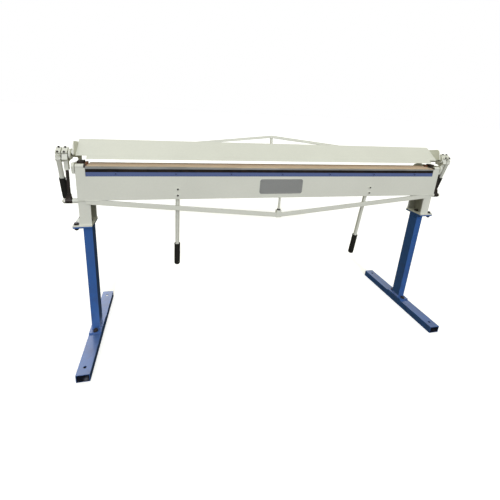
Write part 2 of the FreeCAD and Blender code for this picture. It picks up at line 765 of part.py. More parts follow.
bar_front = "apron_front"
bar_back = "hinge_y"
rebate = "apron_front + packing_bar_thick"
step_z = "bed_top - bending_bar_height"
bar_body = slab("bending_bar_body", ("-bed_half", "bed_half"), [
    (bar_front, "bed_top"),
    (bar_front, step_z),
    (rebate, step_z),
    (rebate, "recess_z"),
    (bar_back, "recess_z"),
    (bar_back, "bed_top"),
])
packing_body = box("packing_bar_body", ("-bed_half", "bed_half"), (bar_front, rebate), ("recess_z", step_z))
bar_screws = []
bar_holes = []
packing_holes = []
screw_z = "bed_top - bar_screw_drop"
for step in range(-3, 4):
    x = f"{step} * bar_screw_pitch"
    tag = f"bar_screw_{step + 3}"
    head = rod_y(tag + "_head", x, ("apron_front - bar_screw_head_height", "apron_front"), screw_z,
                 "bar_screw_head")
    shank = rod_y(tag + "_shank", x, ("apron_front", bar_back + " - bed_relief"), screw_z, "bar_screw_radius")
    bar_screws.append(fuse(tag, [head, shank]))
    bar_holes.append(rod_y(tag + "_tap", x, (rebate, bar_back), screw_z, "bar_screw_radius"))
    packing_holes.append(rod_y(tag + "_hole", x, (bar_front, rebate), screw_z,
                               "bar_screw_radius + bolt_clearance"))
node("bending_bar", cut("bending_bar", bar_body, fuse("bending_bar_taps", bar_holes)))
node("packing_bar", cut("packing_bar", packing_body, fuse("packing_bar_holes", packing_holes)))
node("bar_screws", group("bar_screws", bar_screws))

stiff_top = "bed_top - stiffener_drop"
node("apron_stiffener", slab("apron_stiffener", ("-stiffener_half", "stiffener_half"), [
    ("apron_back", stiff_top),
    ("apron_back", f"{stiff_top} - stiffener_height"),
    ("apron_back + stiffener_wall", f"{stiff_top} - stiffener_height"),
    ("apron_back + stiffener_wall", f"{stiff_top} - stiffener_wall"),
    ("apron_back + stiffener_depth", f"{stiff_top} - stiffener_wall"),
    ("apron_back + stiffener_depth", stiff_top),
]))

# Truss bar: a shallow V under the leaf, cut level where it meets the edge.
truss_low = "apron_bottom - apron_truss_sag"
truss_y = ("apron_front", "apron_front + apron_truss_thick")
meet_x = "apron_truss_half * (apron_truss_sag - apron_truss_height) / apron_truss_rise"
truss_bar = curtain("apron_truss_bar", truss_y, [
    ("0", truss_low),
    ("apron_truss_half", f"{truss_low} + apron_truss_rise"),
    ("apron_truss_half", "apron_bottom"),
    (meet_x, "apron_bottom"),
    ("0", f"{truss_low} + apron_truss_height"),
    (f"-({meet_x})", "apron_bottom"),
    ("-apron_truss_half", "apron_bottom"),
    ("-apron_truss_half", f"{truss_low} + apron_truss_rise"),
])
boss_top = f"{truss_low} + truss_boss_height"
truss_middle = "(apron_front + apron_truss_thick / 2)"
truss_boss = box("truss_boss", ("-truss_boss_half", "truss_boss_half"),
                 (f"{truss_middle} - truss_boss_thick / 2", f"{truss_middle} + truss_boss_thick / 2"),
                 (truss_low, boss_top))
boss_hole = rod_z("truss_boss_hole", "0", truss_middle, (f"{boss_top} - truss_stud_depth", boss_top),
                  "truss_stud_radius")
node("apron_truss", cut("apron_truss", fuse("apron_truss_weldment", [truss_bar, truss_boss]), boss_hole))
node("apron_truss_stud", fuse("apron_truss_stud", [
    rod_z("truss_stud_shank", "0", truss_middle, (f"{boss_top} - truss_stud_depth", "apron_bottom"),
          "truss_stud_radius"),
    hexagon("truss_stud_nut", "0", truss_middle, (boss_top, f"{boss_top} + truss_nut_height"),
            "truss_nut_radius"),
]))

# Plain plate with rounded corners and four small screws.
plate_y = ("apron_front - name_plate_thick", "apron_front")
plate_z = "bed_top - name_plate_drop"
plate_block = box("name_plate_blank", ("-name_plate_length / 2", "name_plate_length / 2"), plate_y,
                  (f"{plate_z} - name_plate_height", plate_z))
doc.recompute()
plate_round = doc.addObject("Part::Fillet", "name_plate")
plate_round.Base = plate_block
corner_edges = []
for number, edge in enumerate(plate_block.Shape.Edges, start=1):
    direction = edge.Vertexes[1].Point - edge.Vertexes[0].Point
    if abs(direction.y) > value("name_plate_thick") / 2:
        corner_edges.append((number, value("name_plate_corner"), value("name_plate_corner")))
plate_round.Edges = corner_edges
node("name_plate", plate_round)
name_screws = []
for column in (-1, 1):
    for row in (0, 1):
        name_screws.append(rod_y(
            f"name_screw_{column + 1}_{row}",
            f"{column} * (name_plate_length / 2 - name_screw_inset)",
            ("apron_front - name_plate_thick - name_screw_length", "apron_front - name_plate_thick"),
            f"{plate_z} - name_screw_inset - {row} * (name_plate_height - 2 * name_screw_inset)",
            "name_screw_radius"))
node("name_plate_screws", group("name_plate_screws", name_screws))

# Clamp leaf, drawn shut from the heel pivot.
bevel_y = "nose_bevel_height / tan(nose_angle) - nose_reach"
nose_half = "bed_half - nose_end_room"
node("nose_bar", shut_to_open(slab("nose_bar", (f"-({nose_half})", nose_half), [
    ("-nose_reach", "leaf_floor"),
    ("nose_depth - nose_reach", "leaf_floor"),
    ("nose_depth - nose_reach", "leaf_deck"),
    ("face_foot", "leaf_deck"),
    (bevel_y, "leaf_floor + nose_bevel_height"),
])))
roof_step = "leaf_base_thick / tan(face_angle)"
node("leaf_base", shut_to_open(slab("leaf_base", ("-leaf_half", "leaf_half"), [
    ("face_foot + face_slab", "leaf_deck"),
    ("leaf_base_back", "leaf_deck"),
    ("leaf_base_back", "leaf_roof"),
    (f"face_foot + face_slab + {roof_step}", "leaf_roof"),
])))
face_back_y = "face_top_y + face_thick * sin(face_angle)"
face_back_z = "face_top_z - face_thick * cos(face_angle)"
node("leaf_face", shut_to_open(slab("leaf_face", ("-leaf_half", "leaf_half"), [
    ("face_foot", "leaf_deck"),
    ("face_foot + face_slab", "leaf_deck"),
    (face_back_y, face_back_z),
    ("face_top_y", "face_top_z"),
])))
rib_top = "leaf_roof + rib_depth"
ribs = []
rib_places = [("0", "centre")]
for sign in (-1, 1):
    rib_places += [(f"{sign * step} * rib_pitch", f"{step}_{sign + 1}") for step in (1, 2)]
    rib_places.append((f"{sign} * rib_end", f"end_{sign + 1}"))
for x, tag in rib_places:
    foot = f"face_foot + face_slab + {roof_step}"
    ribs.append(slab("rib_" + tag, (f"{x} - rib_thick / 2", f"{x} + rib_thick / 2"), [
        (foot, "leaf_roof"),
        (f"{foot} + rib_depth / tan(face_angle)", "leaf_roof"),
        (f"{foot} + rib_depth / tan(face_angle)", rib_top),
    ]))
node("leaf_ribs", shut_to_open(group("leaf_ribs", ribs)))

cheek_points = [
    ("-nose_reach - cheek_foot_forward", "cheek_foot"),
    ("face_foot + face_slab", "cheek_foot"),
    ("(cheek_top - leaf_deck) / tan(face_angle) + face_foot + face_slab", "cheek_top"),
    ("(cheek_top - leaf_deck) / tan(face_angle) + face_foot - cheek_top_forward + cheek_corner", "cheek_top"),
    ("(cheek_top - leaf_deck) / tan(face_angle) + face_foot - cheek_top_forward", "cheek_top - cheek_corner"),
]
for side, sign in SIDES:
    cheek = slab(side + "_cheek", span(sign, "leaf_half", "leaf_outer"), cheek_points)
    node(side + "_cheek", shut_to_open(cheek))

    # Arm: rises from the heel pin and runs forward beside the leaf to the crank.
    arm_x = span(sign, "arm_inner", "arm_outer")
    arm_parts = [
        rod_x(side + "_arm_head", arm_x, "-crank_reach", "crank_rise", "arm_head_radius"),
        rod_x(side + "_arm_heel", arm_x, "0", "0", "arm_heel_radius"),
        slab(side + "_arm_bar", arm_x, [
            ("-arm_half_width", "0"),
            ("arm_half_width", "0"),
            ("arm_half_width", "crank_rise"),
            ("0", "crank_rise + arm_half_width"),
            ("-crank_reach", "crank_rise + arm_half_width"),
            ("-crank_reach", "crank_rise - arm_half_width"),
            ("-2 * arm_half_width", "crank_rise - arm_half_width"),
            ("-arm_half_width", "crank_rise - 2 * arm_half_width"),
        ]),
        box(side + "_arm_block", span(sign, "leaf_outer", "arm_inner"),
            ("-crank_reach - arm_block_width / 2", "arm_block_width / 2 - crank_reach"),
            ("crank_rise", "crank_rise + arm_block_height")),
    ]
    arm_bores = [
        rod_x(side + "_crank_bore", span(sign, "leaf_outer", "arm_outer"), "-crank_reach", "crank_rise",
              "journal_radius + running_fit"),
        rod_x(side + "_arm_heel_bore", arm_x, "0", "0", "heel_pin_radius + running_fit"),
    ]
    node(side + "_leaf_arm", shut_to_open(cut(side + "_leaf_arm", fuse(side + "_arm_weldment", arm_parts),
                                              fuse(side + "_arm_bores", arm_bores))))

# Truss over the back edge of the clamp leaf, with an upright post.
leaf_truss_y = ("leaf_truss_back - leaf_truss_thick / 2", "leaf_truss_back + leaf_truss_thick / 2")
leaf_truss_bar = curtain("leaf_truss_bar", leaf_truss_y, [
    ("0", "leaf_truss_apex"),
    ("-leaf_truss_half", "leaf_truss_apex - leaf_truss_fall"),
    ("-leaf_truss_half", "leaf_truss_apex - leaf_truss_fall - leaf_truss_height"),
    ("0", "leaf_truss_apex - leaf_truss_height"),
    ("leaf_truss_half", "leaf_truss_apex - leaf_truss_fall - leaf_truss_height"),
    ("leaf_truss_half", "leaf_truss_apex - leaf_truss_fall"),
])
lugs = [box(f"leaf_lug_{side}", span(sign, "leaf_truss_half - leaf_lug_length", "leaf_truss_half"),
            leaf_truss_y, ("leaf_roof", "leaf_truss_apex - leaf_truss_fall")) for side, sign in SIDES]
post_hole = rod_z("leaf_post_hole", "0", "leaf_truss_back",
                  ("leaf_roof", "leaf_truss_apex - leaf_truss_height + leaf_post_sink"), "leaf_post_radius")
node("leaf_truss", shut_to_open(cut("leaf_truss", fuse("leaf_truss_weldment", [leaf_truss_bar] + lugs),
                                    post_hole)))
leaf_post = rod_z("leaf_post_shaft", "0", "leaf_truss_back",
                  ("leaf_roof", "leaf_truss_apex - leaf_truss_height + leaf_post_sink"), "leaf_post_radius")
node("leaf_truss_post", shut_to_open(group("leaf_truss_post", [leaf_post])))


# Cranks, clamp handles and links.
def tilted(along, off):
    """Return a place on the slanting cap plane, measured from the crank axis."""
    y = f"crank_y + ({along}) * cos(cap_tilt) - ({off}) * sin(cap_tilt)"
    z = f"crank_z + ({along}) * sin(cap_tilt) + ({off}) * cos(cap_tilt)"
    return y, z


def head_block(name, limits):
    """Make a clamp head: a saddle and a cap, parted by a groove at each end."""
    saddle = slab(name + "_saddle", limits, [
        ("crank_y - head_front", "crank_z - head_front_drop"),
        ("crank_y - head_low_forward", "crank_z - head_low"),
        ("crank_y + head_back - head_back_corner", "crank_z - head_back_drop"),
        ("crank_y + head_back", "crank_z"),
        tilted("cap_back", "cap_seat"),
        tilted("-cap_front", "cap_seat"),
    ])
    neck = slab(name + "_neck", limits, [
        tilted("(cap_back - cap_front - cap_neck) / 2", "cap_seat"),
        tilted("(cap_back - cap_front + cap_neck) / 2", "cap_seat"),
        tilted("(cap_back - cap_front + cap_neck) / 2", "cap_seat + cap_groove"),
        tilted("(cap_back - cap_front - cap_neck) / 2", "cap_seat + cap_groove"),
    ])
    cap = slab(name + "_cap", limits, [
        tilted("-cap_front", "cap_seat + cap_groove"),
        tilted("cap_back", "cap_seat + cap_groove"),
        tilted("cap_back", "cap_seat + cap_groove + cap_thick"),
        tilted("-cap_front", "cap_seat + cap_groove + cap_thick"),
    ])
    return [saddle, neck, cap]


def cap_bolts(name, x):
    """Make the two cap bolts of a head and the tools for their holes."""
    bolts = []
    holes = []
    places_along = ("cap_bolt_inset - cap_front", "cap_back - cap_bolt_inset")
    for number, along in enumerate(places_along):
        foot = tilted(along, "cap_seat - cap_bolt_depth")
        seat = tilted(along, "cap_seat + cap_groove + cap_thick")
        length = "cap_bolt_depth + cap_groove + cap_thick"
        shank = rod_z(f"{name}_{number}_shank", x, foot[0], (foot[1], f"{foot[1]} + {length}"),
                      "cap_bolt_radius", "cap_tilt")
        head = rod_z(f"{name}_{number}_head", x, seat[0], (seat[1], f"{seat[1]} + cap_bolt_head_height"),
                     "cap_bolt_head", "cap_tilt")
        bolts.append(fuse(f"{name}_{number}", [shank, head]))
        holes.append(rod_z(f"{name}_{number}_hole", x, foot[0], (foot[1], f"{foot[1]} + {length}"),
                           "cap_bolt_radius", "cap_tilt"))
    return bolts, holes


for side, sign in SIDES:
    # Crank: two eccentric webs join the journals to the crank pin.
    web_y = "(crank_y + pin_y) / 2"
    web_z = "(crank_z + pin_z) / 2"
    web_radius = "crank_throw / 2 + web_margin"
    node(side + "_crank_shaft", fuse(side + "_crank_shaft", [
        rod_x(side + "_journal", span(sign, "arm_inner + web_gap", "web_inner"), "crank_y", "crank_z",
              "journal_radius"),
        rod_x(side + "_inner_web", span(sign, "web_inner", "web_inner + web_thick"),
              web_y, web_z, web_radius),
        rod_x(side + "_crank_pin", span(sign, "web_inner + web_thick", "outer_web"), "pin_y", "pin_z",
              "crank_pin_radius"),
        rod_x(side + "_outer_web", span(sign, "outer_web", "hub_inner"), web_y, web_z, web_radius),
        rod_x(side + "_outer_journal", span(sign, "hub_inner", "hub_outer"), "crank_y", "crank_z",
              "outer_journal_radius"),
    ]))

    # Clamp handle: the hub on the outer journal and its tube.
    hub_x = span(sign, "hub_inner", "hub_outer")
    hub_line = mirror(sign, "hub_middle")
    tube_y = "crank_y - clamp_handle_forward"
    bolts, holes = cap_bolts(side + "_hub_bolt", hub_line)
    hub_tube = rod_z(side + "_clamp_tube", hub_line, tube_y, ("crank_z", "crank_z + clamp_handle_length"),
                     "clamp_handle_radius", "180 + clamp_handle_lean")
    hub_bore = rod_x(side + "_hub_bore", hub_x, "crank_y", "crank_z", "outer_journal_radius")
    node(side + "_clamp_handle", cut(side + "_clamp_handle",
                                     fuse(side + "_hub_body", head_block(side + "_hub", hub_x) + [hub_tube]),
                                     fuse(side + "_hub_cuts", [hub_bore] + holes)))
    node(side + "_hub_bolts", group(side + "_hub_bolts", bolts))
    start = "(clamp_handle_length - clamp_grip_length + grip_end_wall)"
    sleeve_y = f"{tube_y} + {start} * sin(clamp_handle_lean)"
    sleeve_z = f"crank_z - {start} * cos(clamp_handle_lean)"
    sleeve = rod_z(side + "_clamp_sleeve", hub_line, sleeve_y, (sleeve_z, f"{sleeve_z} + clamp_grip_length"),
                   "clamp_grip_radius", "180 + clamp_handle_lean")
    node(side + "_clamp_grip", cut(side + "_clamp_grip", sleeve, hub_tube))

    # Link: slotted head and shank on top, rod, fan and hub below.
    head_x = span(sign, "head_inner", "head_outer")
    head_line = mirror(sign, "head_middle")
    bolts, holes = cap_bolts(side + "_link_bolt", head_line)
    shank_y = "stud_y + (shank_foot - stud_z) * link_tip / link_up"
    shank = box(side + "_link_shank", (f"{head_line} - shank_width / 2", f"{head_line} + shank_width / 2"),
                (f"{shank_y} - shank_width / 2", f"{shank_y} + shank_width / 2"),
                ("shank_foot", "crank_z - head_back_drop"))
    slot = box(side + "_link_slot", head_x, ("pin_y - slot_front", "pin_y + slot_back"),
               ("pin_z - slot_low", "pin_z + slot_high"))
    node(side + "_link_head", cut(side + "_link_head",
                                  fuse(side + "_link_head_body",
                                       head_block(side + "_link", head_x) + [shank]),
                                  fuse(side + "_link_head_cuts", [slot] + holes)))
    node(side + "_link_bolts", group(side + "_link_bolts", bolts))
    rod_length = "(shank_foot - stud_z) / link_up"
    lean = "-asin(link_tip)"
    rod = rod_z(side + "_link_rod_bar", head_line, "stud_y", ("stud_z", f"stud_z + {rod_length}"),
                "link_rod_radius", lean)
    trim = box(side + "_link_rod_trim",
               (f"{head_line} - 2 * link_rod_radius", f"{head_line} + 2 * link_rod_radius"),
               (f"{shank_y} - 2 * link_rod_radius", f"{shank_y} + 2 * link_rod_radius"),
               ("shank_foot", "shank_foot + link_rod_radius"))
    hub_limits = span(sign, "link_hub_inner", "link_hub_outer")
    hub = rod_x(side + "_link_hub", hub_limits, "stud_y", "stud_z", "link_hub_radius")
    fan = curtain(side + "_link_fan", ("stud_y - link_fan_thick / 2", "stud_y + link_fan_thick / 2"), [
        (hub_limits[0], "stud_z"),
        (hub_limits[1], "stud_z"),
        (f"{head_line} + link_fan_half", "stud_z + link_fan_rise"),
        (f"{head_line} - link_fan_half", "stud_z + link_fan_rise"),
    ])
    hub_hole = rod_x(side + "_link_hub_hole", hub_limits, "stud_y", "stud_z", "stud_radius + running_fit")
    node(side + "_link_rod", cut(side + "_link_rod", fuse(side + "_link_rod_weldment", [rod, hub, fan]),
                                 fuse(side + "_link_rod_cuts", [hub_hole, trim])))

# Checks and files.
doc.recompute()
for item in doc.Objects:
    if "Invalid" in item.State or "Error" in item.State:
        raise RuntimeError(f"{item.Label} failed: {item.State}")
for name, item in nodes.items():
    if item.Shape.isNull() or not item.Shape.isValid():
        raise RuntimeError(f"{name} has no valid shape")
os.makedirs("parts", exist_ok=True)
for name, item in nodes.items():
    item.Shape.exportStep(f"parts/{name}.step")
    limits = item.Shape.BoundBox
    print(f"{name}: {len(item.Shape.Solids)} solid(s), {item.Shape.Volume:.0f} mm3, "
          f"X {limits.XMin:.1f} to {limits.XMax:.1f}, Y {limits.YMin:.1f} to {limits.YMax:.1f}, "
          f"Z {limits.ZMin:.1f} to {limits.ZMax:.1f}")
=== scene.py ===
"""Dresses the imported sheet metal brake: edges, welds, bolts, grips, finishes and stage."""

import json
import math

import bmesh
import bpy
from bpy.props import FloatProperty, FloatVectorProperty, IntProperty, PointerProperty
from mathutils import Matrix, Vector


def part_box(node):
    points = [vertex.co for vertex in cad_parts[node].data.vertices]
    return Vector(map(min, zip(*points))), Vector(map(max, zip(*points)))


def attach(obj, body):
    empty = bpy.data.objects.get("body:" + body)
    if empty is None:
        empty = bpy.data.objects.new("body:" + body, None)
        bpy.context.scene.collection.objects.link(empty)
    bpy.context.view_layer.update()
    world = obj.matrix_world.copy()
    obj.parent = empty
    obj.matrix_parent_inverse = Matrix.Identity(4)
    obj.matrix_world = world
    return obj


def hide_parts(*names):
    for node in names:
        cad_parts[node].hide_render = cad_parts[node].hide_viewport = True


bl_info = {
    "name": "Straight Hand Brake",
    "version": (1, 0, 0),
    "blender": (4, 5, 0),
    "location": "View3D > Sidebar > Brake",
    "description": "Edges, welds, bolts, grips and finishes of a straight hand brake",
    "category": "Object",
}

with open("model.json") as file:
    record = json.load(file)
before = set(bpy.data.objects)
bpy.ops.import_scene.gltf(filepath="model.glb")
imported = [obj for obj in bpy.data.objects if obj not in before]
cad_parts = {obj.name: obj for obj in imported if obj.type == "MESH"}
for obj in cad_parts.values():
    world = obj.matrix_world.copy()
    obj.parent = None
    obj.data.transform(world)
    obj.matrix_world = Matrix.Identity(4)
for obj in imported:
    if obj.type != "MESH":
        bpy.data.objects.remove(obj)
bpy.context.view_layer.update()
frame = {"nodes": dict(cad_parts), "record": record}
NODES = frame["nodes"]
BODY_OF = {
    node: body
    for body, members in frame["record"]["behaviour"]["bodies"].items()
    for node in members
}
SLOT_OF = {node: thing.data.materials[0].name for node, thing in NODES.items()}
MM = 0.001
SIDES = (("left", -1), ("right", 1))
OUTWARD, FRONT, BACK, UP = (1, 0, 0), (0, -1, 0), (0, 1, 0), (0, 0, 1)


# Sizes and colours
def srgb(red, green, blue):
    """Scene-linear colour of a paint given as it looks on a screen, 0 to 255."""
    return tuple(
        c / 12.92 if c <= 0.04045 else ((c + 0.055) / 1.055) ** 2.4
        for c in (red / 255, green / 255, blue / 255)
    )


def paint(name, words, colour):
    return FloatVectorProperty(
        name=name, description=words, default=colour, size=3, min=0, max=1, subtype="COLOR"
    )


def length(name, words, millimetres):
    return FloatProperty(
        name=name, description=words, default=millimetres * MM, min=0, unit="LENGTH"
    )


def share(name, words, number):
    return FloatProperty(name=name, description=words, default=number, min=0)


def way(name, words, direction, **options):
    return FloatVectorProperty(name=name, description=words, default=direction, size=3, **options)


class BrakePaints(bpy.types.PropertyGroup):
    """Colours of the paints and metals."""

    cream: paint("Cream enamel", "Leaves, columns, beam and arms", srgb(229, 230, 220))
    blue: paint("Blue enamel", "Feet and posts", srgb(58, 102, 172))
    strip: paint("Packing strip", "Thin paint of the packing bar", srgb(92, 108, 156))
    bed: paint("Ground bed", "Oiled and lightly browned ground steel", srgb(255, 234, 202))
    brown: paint("Oil stain", "Browned patches of bare steel", srgb(150, 98, 62))
    # Near-black paint for the bending bar's lower face, below a wavy line.
    scale: paint("Dark lower band", "Dark lower face of the bending bar", srgb(20, 21, 22))
    black: paint("Black oxide", "Cranks, link rods and hexagon bolts", srgb(44, 43, 42))
    bright: paint("Drawn steel", "Studs of the clamp links", srgb(214, 214, 200))
    zinc: paint("Zinc plate", "Small screws", srgb(176, 177, 178))
    rubber: paint("Grip rubber", "Handle grips", srgb(42, 41, 38))
    plate: paint("Front plate", "Plain plate on the bending leaf", srgb(150, 151, 150))
    # Painted shade, with a little dust, for the insides of tubes, channels and screw sockets.
    inside: paint("Insides", "Dust and shade inside tubes and channels", srgb(34, 28, 20))
    grime: paint("Grime", "Dust and grease that settles low down", srgb(70, 60, 48))


class BrakeEdges(bpy.types.PropertyGroup):
    """How far edges are broken, and how welds look."""

    sheet: length("Sheet edge", "Break on cut plate", 0.9)
    tube: length("Tube corner", "Outer radius of box tube", 2.2)
    casting: length("Casting edge", "Round on cast heads and fans", 1.4)
    ground: length("Ground edge", "Break on ground bars", 0.35)
    turned: length("Turned edge", "Break on the turned cranks", 0.5)
    rim: length("Rim edge", "Break on the front plate's rim", 0.25)
    weld: length("Weld bead", "Radius of a fillet weld's ripples", 2.6)
    ripple: length("Weld ripple", "Distance between a weld's ripples", 3.4)
    swell: share("Weld swell", "How much a weld's ripples differ in size", 0.09)
    sharp: share("Sharp edge", "Angle in degrees past which an edge is broken", 28.0)
    steps: IntProperty(name="Steps", description="Faces across a broken edge", default=3, min=1)


class BrakeFittings(bpy.types.PropertyGroup):
    """Bolts, grips and the front plate."""

    bolt: length("Bolt head", "Radius over the corners of a frame bolt or nut", 10.5)
    bolt_head: length("Bolt head height", "Height of a frame bolt's head", 7.5)
    collar: length("Collar", "Radius of the collar under a frame bolt's head", 12.0)
    collar_height: length("Collar height", "Height of that collar", 2.0)
    shank: length("Shank", "Radius of a frame bolt's shank", 6.0)
    nut_height: length("Nut height", "Height of a frame bolt's nut", 10.0)
    tail: length("Tail", "Thread that shows past a nut", 3.0)
    thread_step: length("Thread step", "Distance between thread crests", 1.75)
    thread_depth: length("Thread depth", "Depth of the thread", 0.7)
    chamfer: share("Head chamfer", "Height of a hexagon's chamfer over its radius", 0.14)
    grip_round: length("Grip end", "Round at the closed end of a grip", 7.0)
    grip_groove: length("Grip groove", "Depth of the shallow rings in a grip", 0.5)
    ring_step: length("Grip rings", "Distance between the rings in a grip", 4.0)
    bore: length("Grip bore", "Radius of the bore of a grip", 10.05)
    plug: length("Grip plug", "Thickness of a grip's closed end", 4.0)
    pull_grip: length("Pull grip", "Radius of the grips of the pull handles", 15.0)
    pull_collar: length("Pull collar", "Radius of the collars of those grips", 15.8)
    pull_collar_height: length("Pull collar height", "Height of those collars", 3.0)
    clamp_grip: length("Clamp grip", "Radius of the grips of the clamp handles", 13.5)
    plate_rim: length("Plate rim", "Width of the front plate's raised rim", 4.0)
    plate_slope: length("Plate slope", "Width of the slope inside that rim", 0.5)
    plate_sink: length("Plate sink", "Depth of the field inside that rim", 0.7)


class BrakeStage(bpy.types.PropertyGroup):
    """Floor, light and camera."""

    floor: paint("Floor", "Pale floor", srgb(252, 252, 252))
    bounce: paint("Floor bounce", "Light that the floor throws back", (0.16, 0.15, 0.13))
    glow: share("Floor glow", "Light that keeps the floor pale in shadow", 0.5)
    floor_size: length("Floor size", "Side of the floor", 60000.0)
    sky: share("Sky light", "Strength of the surrounding light", 0.38)
    softbox: share("Soft light", "Strength of the broad light in front", 0.85)
    wall: share("Wall light", "Strength of the bright wall that gloss mirrors", 2.9)
    fill: share("Back light", "Strength of the light that the wall throws on the back", 0.25)
    dim: share("Room in gloss", "Share of the room and the floor that gloss mirrors", 0.2)
    wall_place: way("Wall place", "Direction of the bright wall", (-0.3, 0.75, 0.6))
    sky_colour: paint("Sky colour", "Colour of the surrounding light", (1.0, 0.98, 0.58))
    sun: share("Sun light", "Strength of the main light", 1.15)
    sun_place: way("Sun place", "Direction that the main light comes from", (-0.03, -0.88, 0.47))
    soft_place: way("Soft place", "Direction of the middle of the broad light", (-0.03, -0.95, 0.3))
    sun_colour: paint("Sun colour", "Colour of the main light", (0.87, 0.895, 1.03))
    sun_spread: share("Sun spread", "Angle of the main light in degrees", 6.0)
    camera_place: way(
        "Camera", "Where the camera stands", (-0.5768, -1.4530, 1.2509), unit="LENGTH"
    )
    camera_aim: way("Aim", "Direction that the camera looks in", (0.22221, 0.93750, -0.26782))
    camera_right: way("Right", "Direction of the picture's right side", (0.97498, -0.21517, 0.05572))
    lens: share("Lens", "Focal length in millimetres on a 36 mm sensor", 21.238)
    shift_x: FloatProperty(name="Shift X", description="Sideways shift", default=0.02935)
    shift_y: FloatProperty(name="Shift Y", description="Upward shift", default=-0.13196)


def settings(group):
    """One of the brake's groups of settings, by its name on the scene."""
    return getattr(bpy.context.scene, group)


# Finishes
class Tree:
    """Builds one node tree. Each call makes a node; a socket given as a value is linked."""

    def __init__(self, tree):
        self.tree = tree

    def add(self, kind, inputs=None, **options):
        node = self.tree.nodes.new(kind)
        for name, value in options.items():
            setattr(node, name, value)
        for key, value in (inputs or {}).items():
            if isinstance(value, bpy.types.NodeSocket):
                self.tree.links.new(value, node.inputs[key])
            else:
                node.inputs[key].default_value = value
        return node

    def math(self, operation, *values):
        node = self.add("ShaderNodeMath", dict(enumerate(values)), operation=operation)
        return node.outputs[0]

    def ramp(self, value, low, high, start=0.0, end=1.0):
        inputs = {"Value": value, "From Min": low, "From Max": high, "To Min": start, "To Max": end}
        return self.add("ShaderNodeMapRange", inputs).outputs[0]

    def mix(self, factor, first, second, blend="MIX"):
        first, second = (
            value if isinstance(value, bpy.types.NodeSocket) else (*value, 1)
            for value in (first, second)
        )
        inputs = {0: factor, 6: first, 7: second}
        return self.add("ShaderNodeMix", inputs, data_type="RGBA", blend_type=blend).outputs[2]

    def noise(self, vector, scale, detail=3.0, roughness=0.55):
        inputs = {"Vector": vector, "Scale": scale, "Detail": detail, "Roughness": roughness}
        return self.add("ShaderNodeTexNoise", inputs).outputs["Fac"]

    def place(self):
        return self.add("ShaderNodeTexCoord").outputs["Object"]

    def along(self, axis):
        """The place's distance along X, Y or Z, given as 0, 1 or 2."""
        return self.add("ShaderNodeSeparateXYZ", {0: self.place()}).outputs[axis]

    def grey(self, value):
        return self.add("ShaderNodeCombineColor", dict.fromkeys(("Red", "Green", "Blue"), value)).outputs[0]

    def stretch(self, vector, scale):
        return self.add("ShaderNodeMapping", {"Vector": vector, "Scale": scale}).outputs[0]


def effect(name, inputs, outputs):
    """An empty shader group with named sockets. Returns its tree, input and output nodes."""
    group = bpy.data.node_groups.new(name, "ShaderNodeTree")
    kinds = {float: "NodeSocketFloat", tuple: "NodeSocketColor"}
    for socket, value in inputs.items():
        made = group.interface.new_socket(socket, in_out="INPUT", socket_type=kinds[type(value)])
        made.default_value = (*value, 1) if isinstance(value, tuple) else value
    for socket, kind in outputs.items():
        group.interface.new_socket(socket, in_out="OUTPUT", socket_type=kinds[kind])
    tree = Tree(group)
    return tree, tree.add("NodeGroupInput").outputs, tree.add("NodeGroupOutput").inputs


def give(tree, outputs, **values):
    """Links a group's results to its output sockets."""
    for name, value in values.items():
        tree.tree.links.new(value, outputs[name])


def enamel_film():
    """Sprayed paint: slow changes of tone, faint orange peel and uneven gloss."""
    tree, given, out = effect(
        "Enamel film", {"Paint": (1.0, 1.0, 1.0), "Tone": 0.06, "Gloss": 0.35},
        {"Colour": tuple, "Roughness": float, "Height": float},
    )
    place = tree.place()
    cloud = tree.noise(place, 2.6, 4.0)
    speck = tree.noise(place, 95.0, 2.0)
    peel = tree.noise(place, 420.0, 2.0, 0.5)
    drift = tree.math(
        "ADD", tree.ramp(cloud, 0.3, 0.7, -1.0, 1.0), tree.ramp(speck, 0.3, 0.7, -0.35, 0.35)
    )
    tone = tree.math("MULTIPLY_ADD", drift, given["Tone"], 1.0)
    give(
        tree, out,
        Colour=tree.mix(1.0, given["Paint"], tree.grey(tone), "MULTIPLY"),
        Roughness=tree.math("ADD", tree.ramp(cloud, 0.3, 0.7, -0.06, 0.1), given["Gloss"]),
        Height=tree.math("ADD", peel, tree.math("MULTIPLY", speck, 0.6)),
    )
    return tree.tree


def edge_wear():
    """Paint rubbed thin along broken edges, which carry the mesh attribute edge."""
    tree, given, out = effect(
        "Edge wear", {"Colour": (1.0, 1.0, 1.0), "Under": (0.3, 0.3, 0.3), "Amount": 0.5},
        {"Colour": tuple},
    )
    edge = tree.add("ShaderNodeAttribute", attribute_name="edge").outputs["Fac"]
    patches = tree.noise(tree.place(), 38.0, 5.0, 0.65)
    start = tree.math("SUBTRACT", 0.78, tree.math("MULTIPLY", given["Amount"], 0.4))
    rubbed = tree.ramp(patches, start, tree.math("ADD", start, 0.12))
    mask = tree.math("MULTIPLY", edge, rubbed)
    give(tree, out, Colour=tree.mix(mask, given["Colour"], given["Under"]))
    return tree.tree


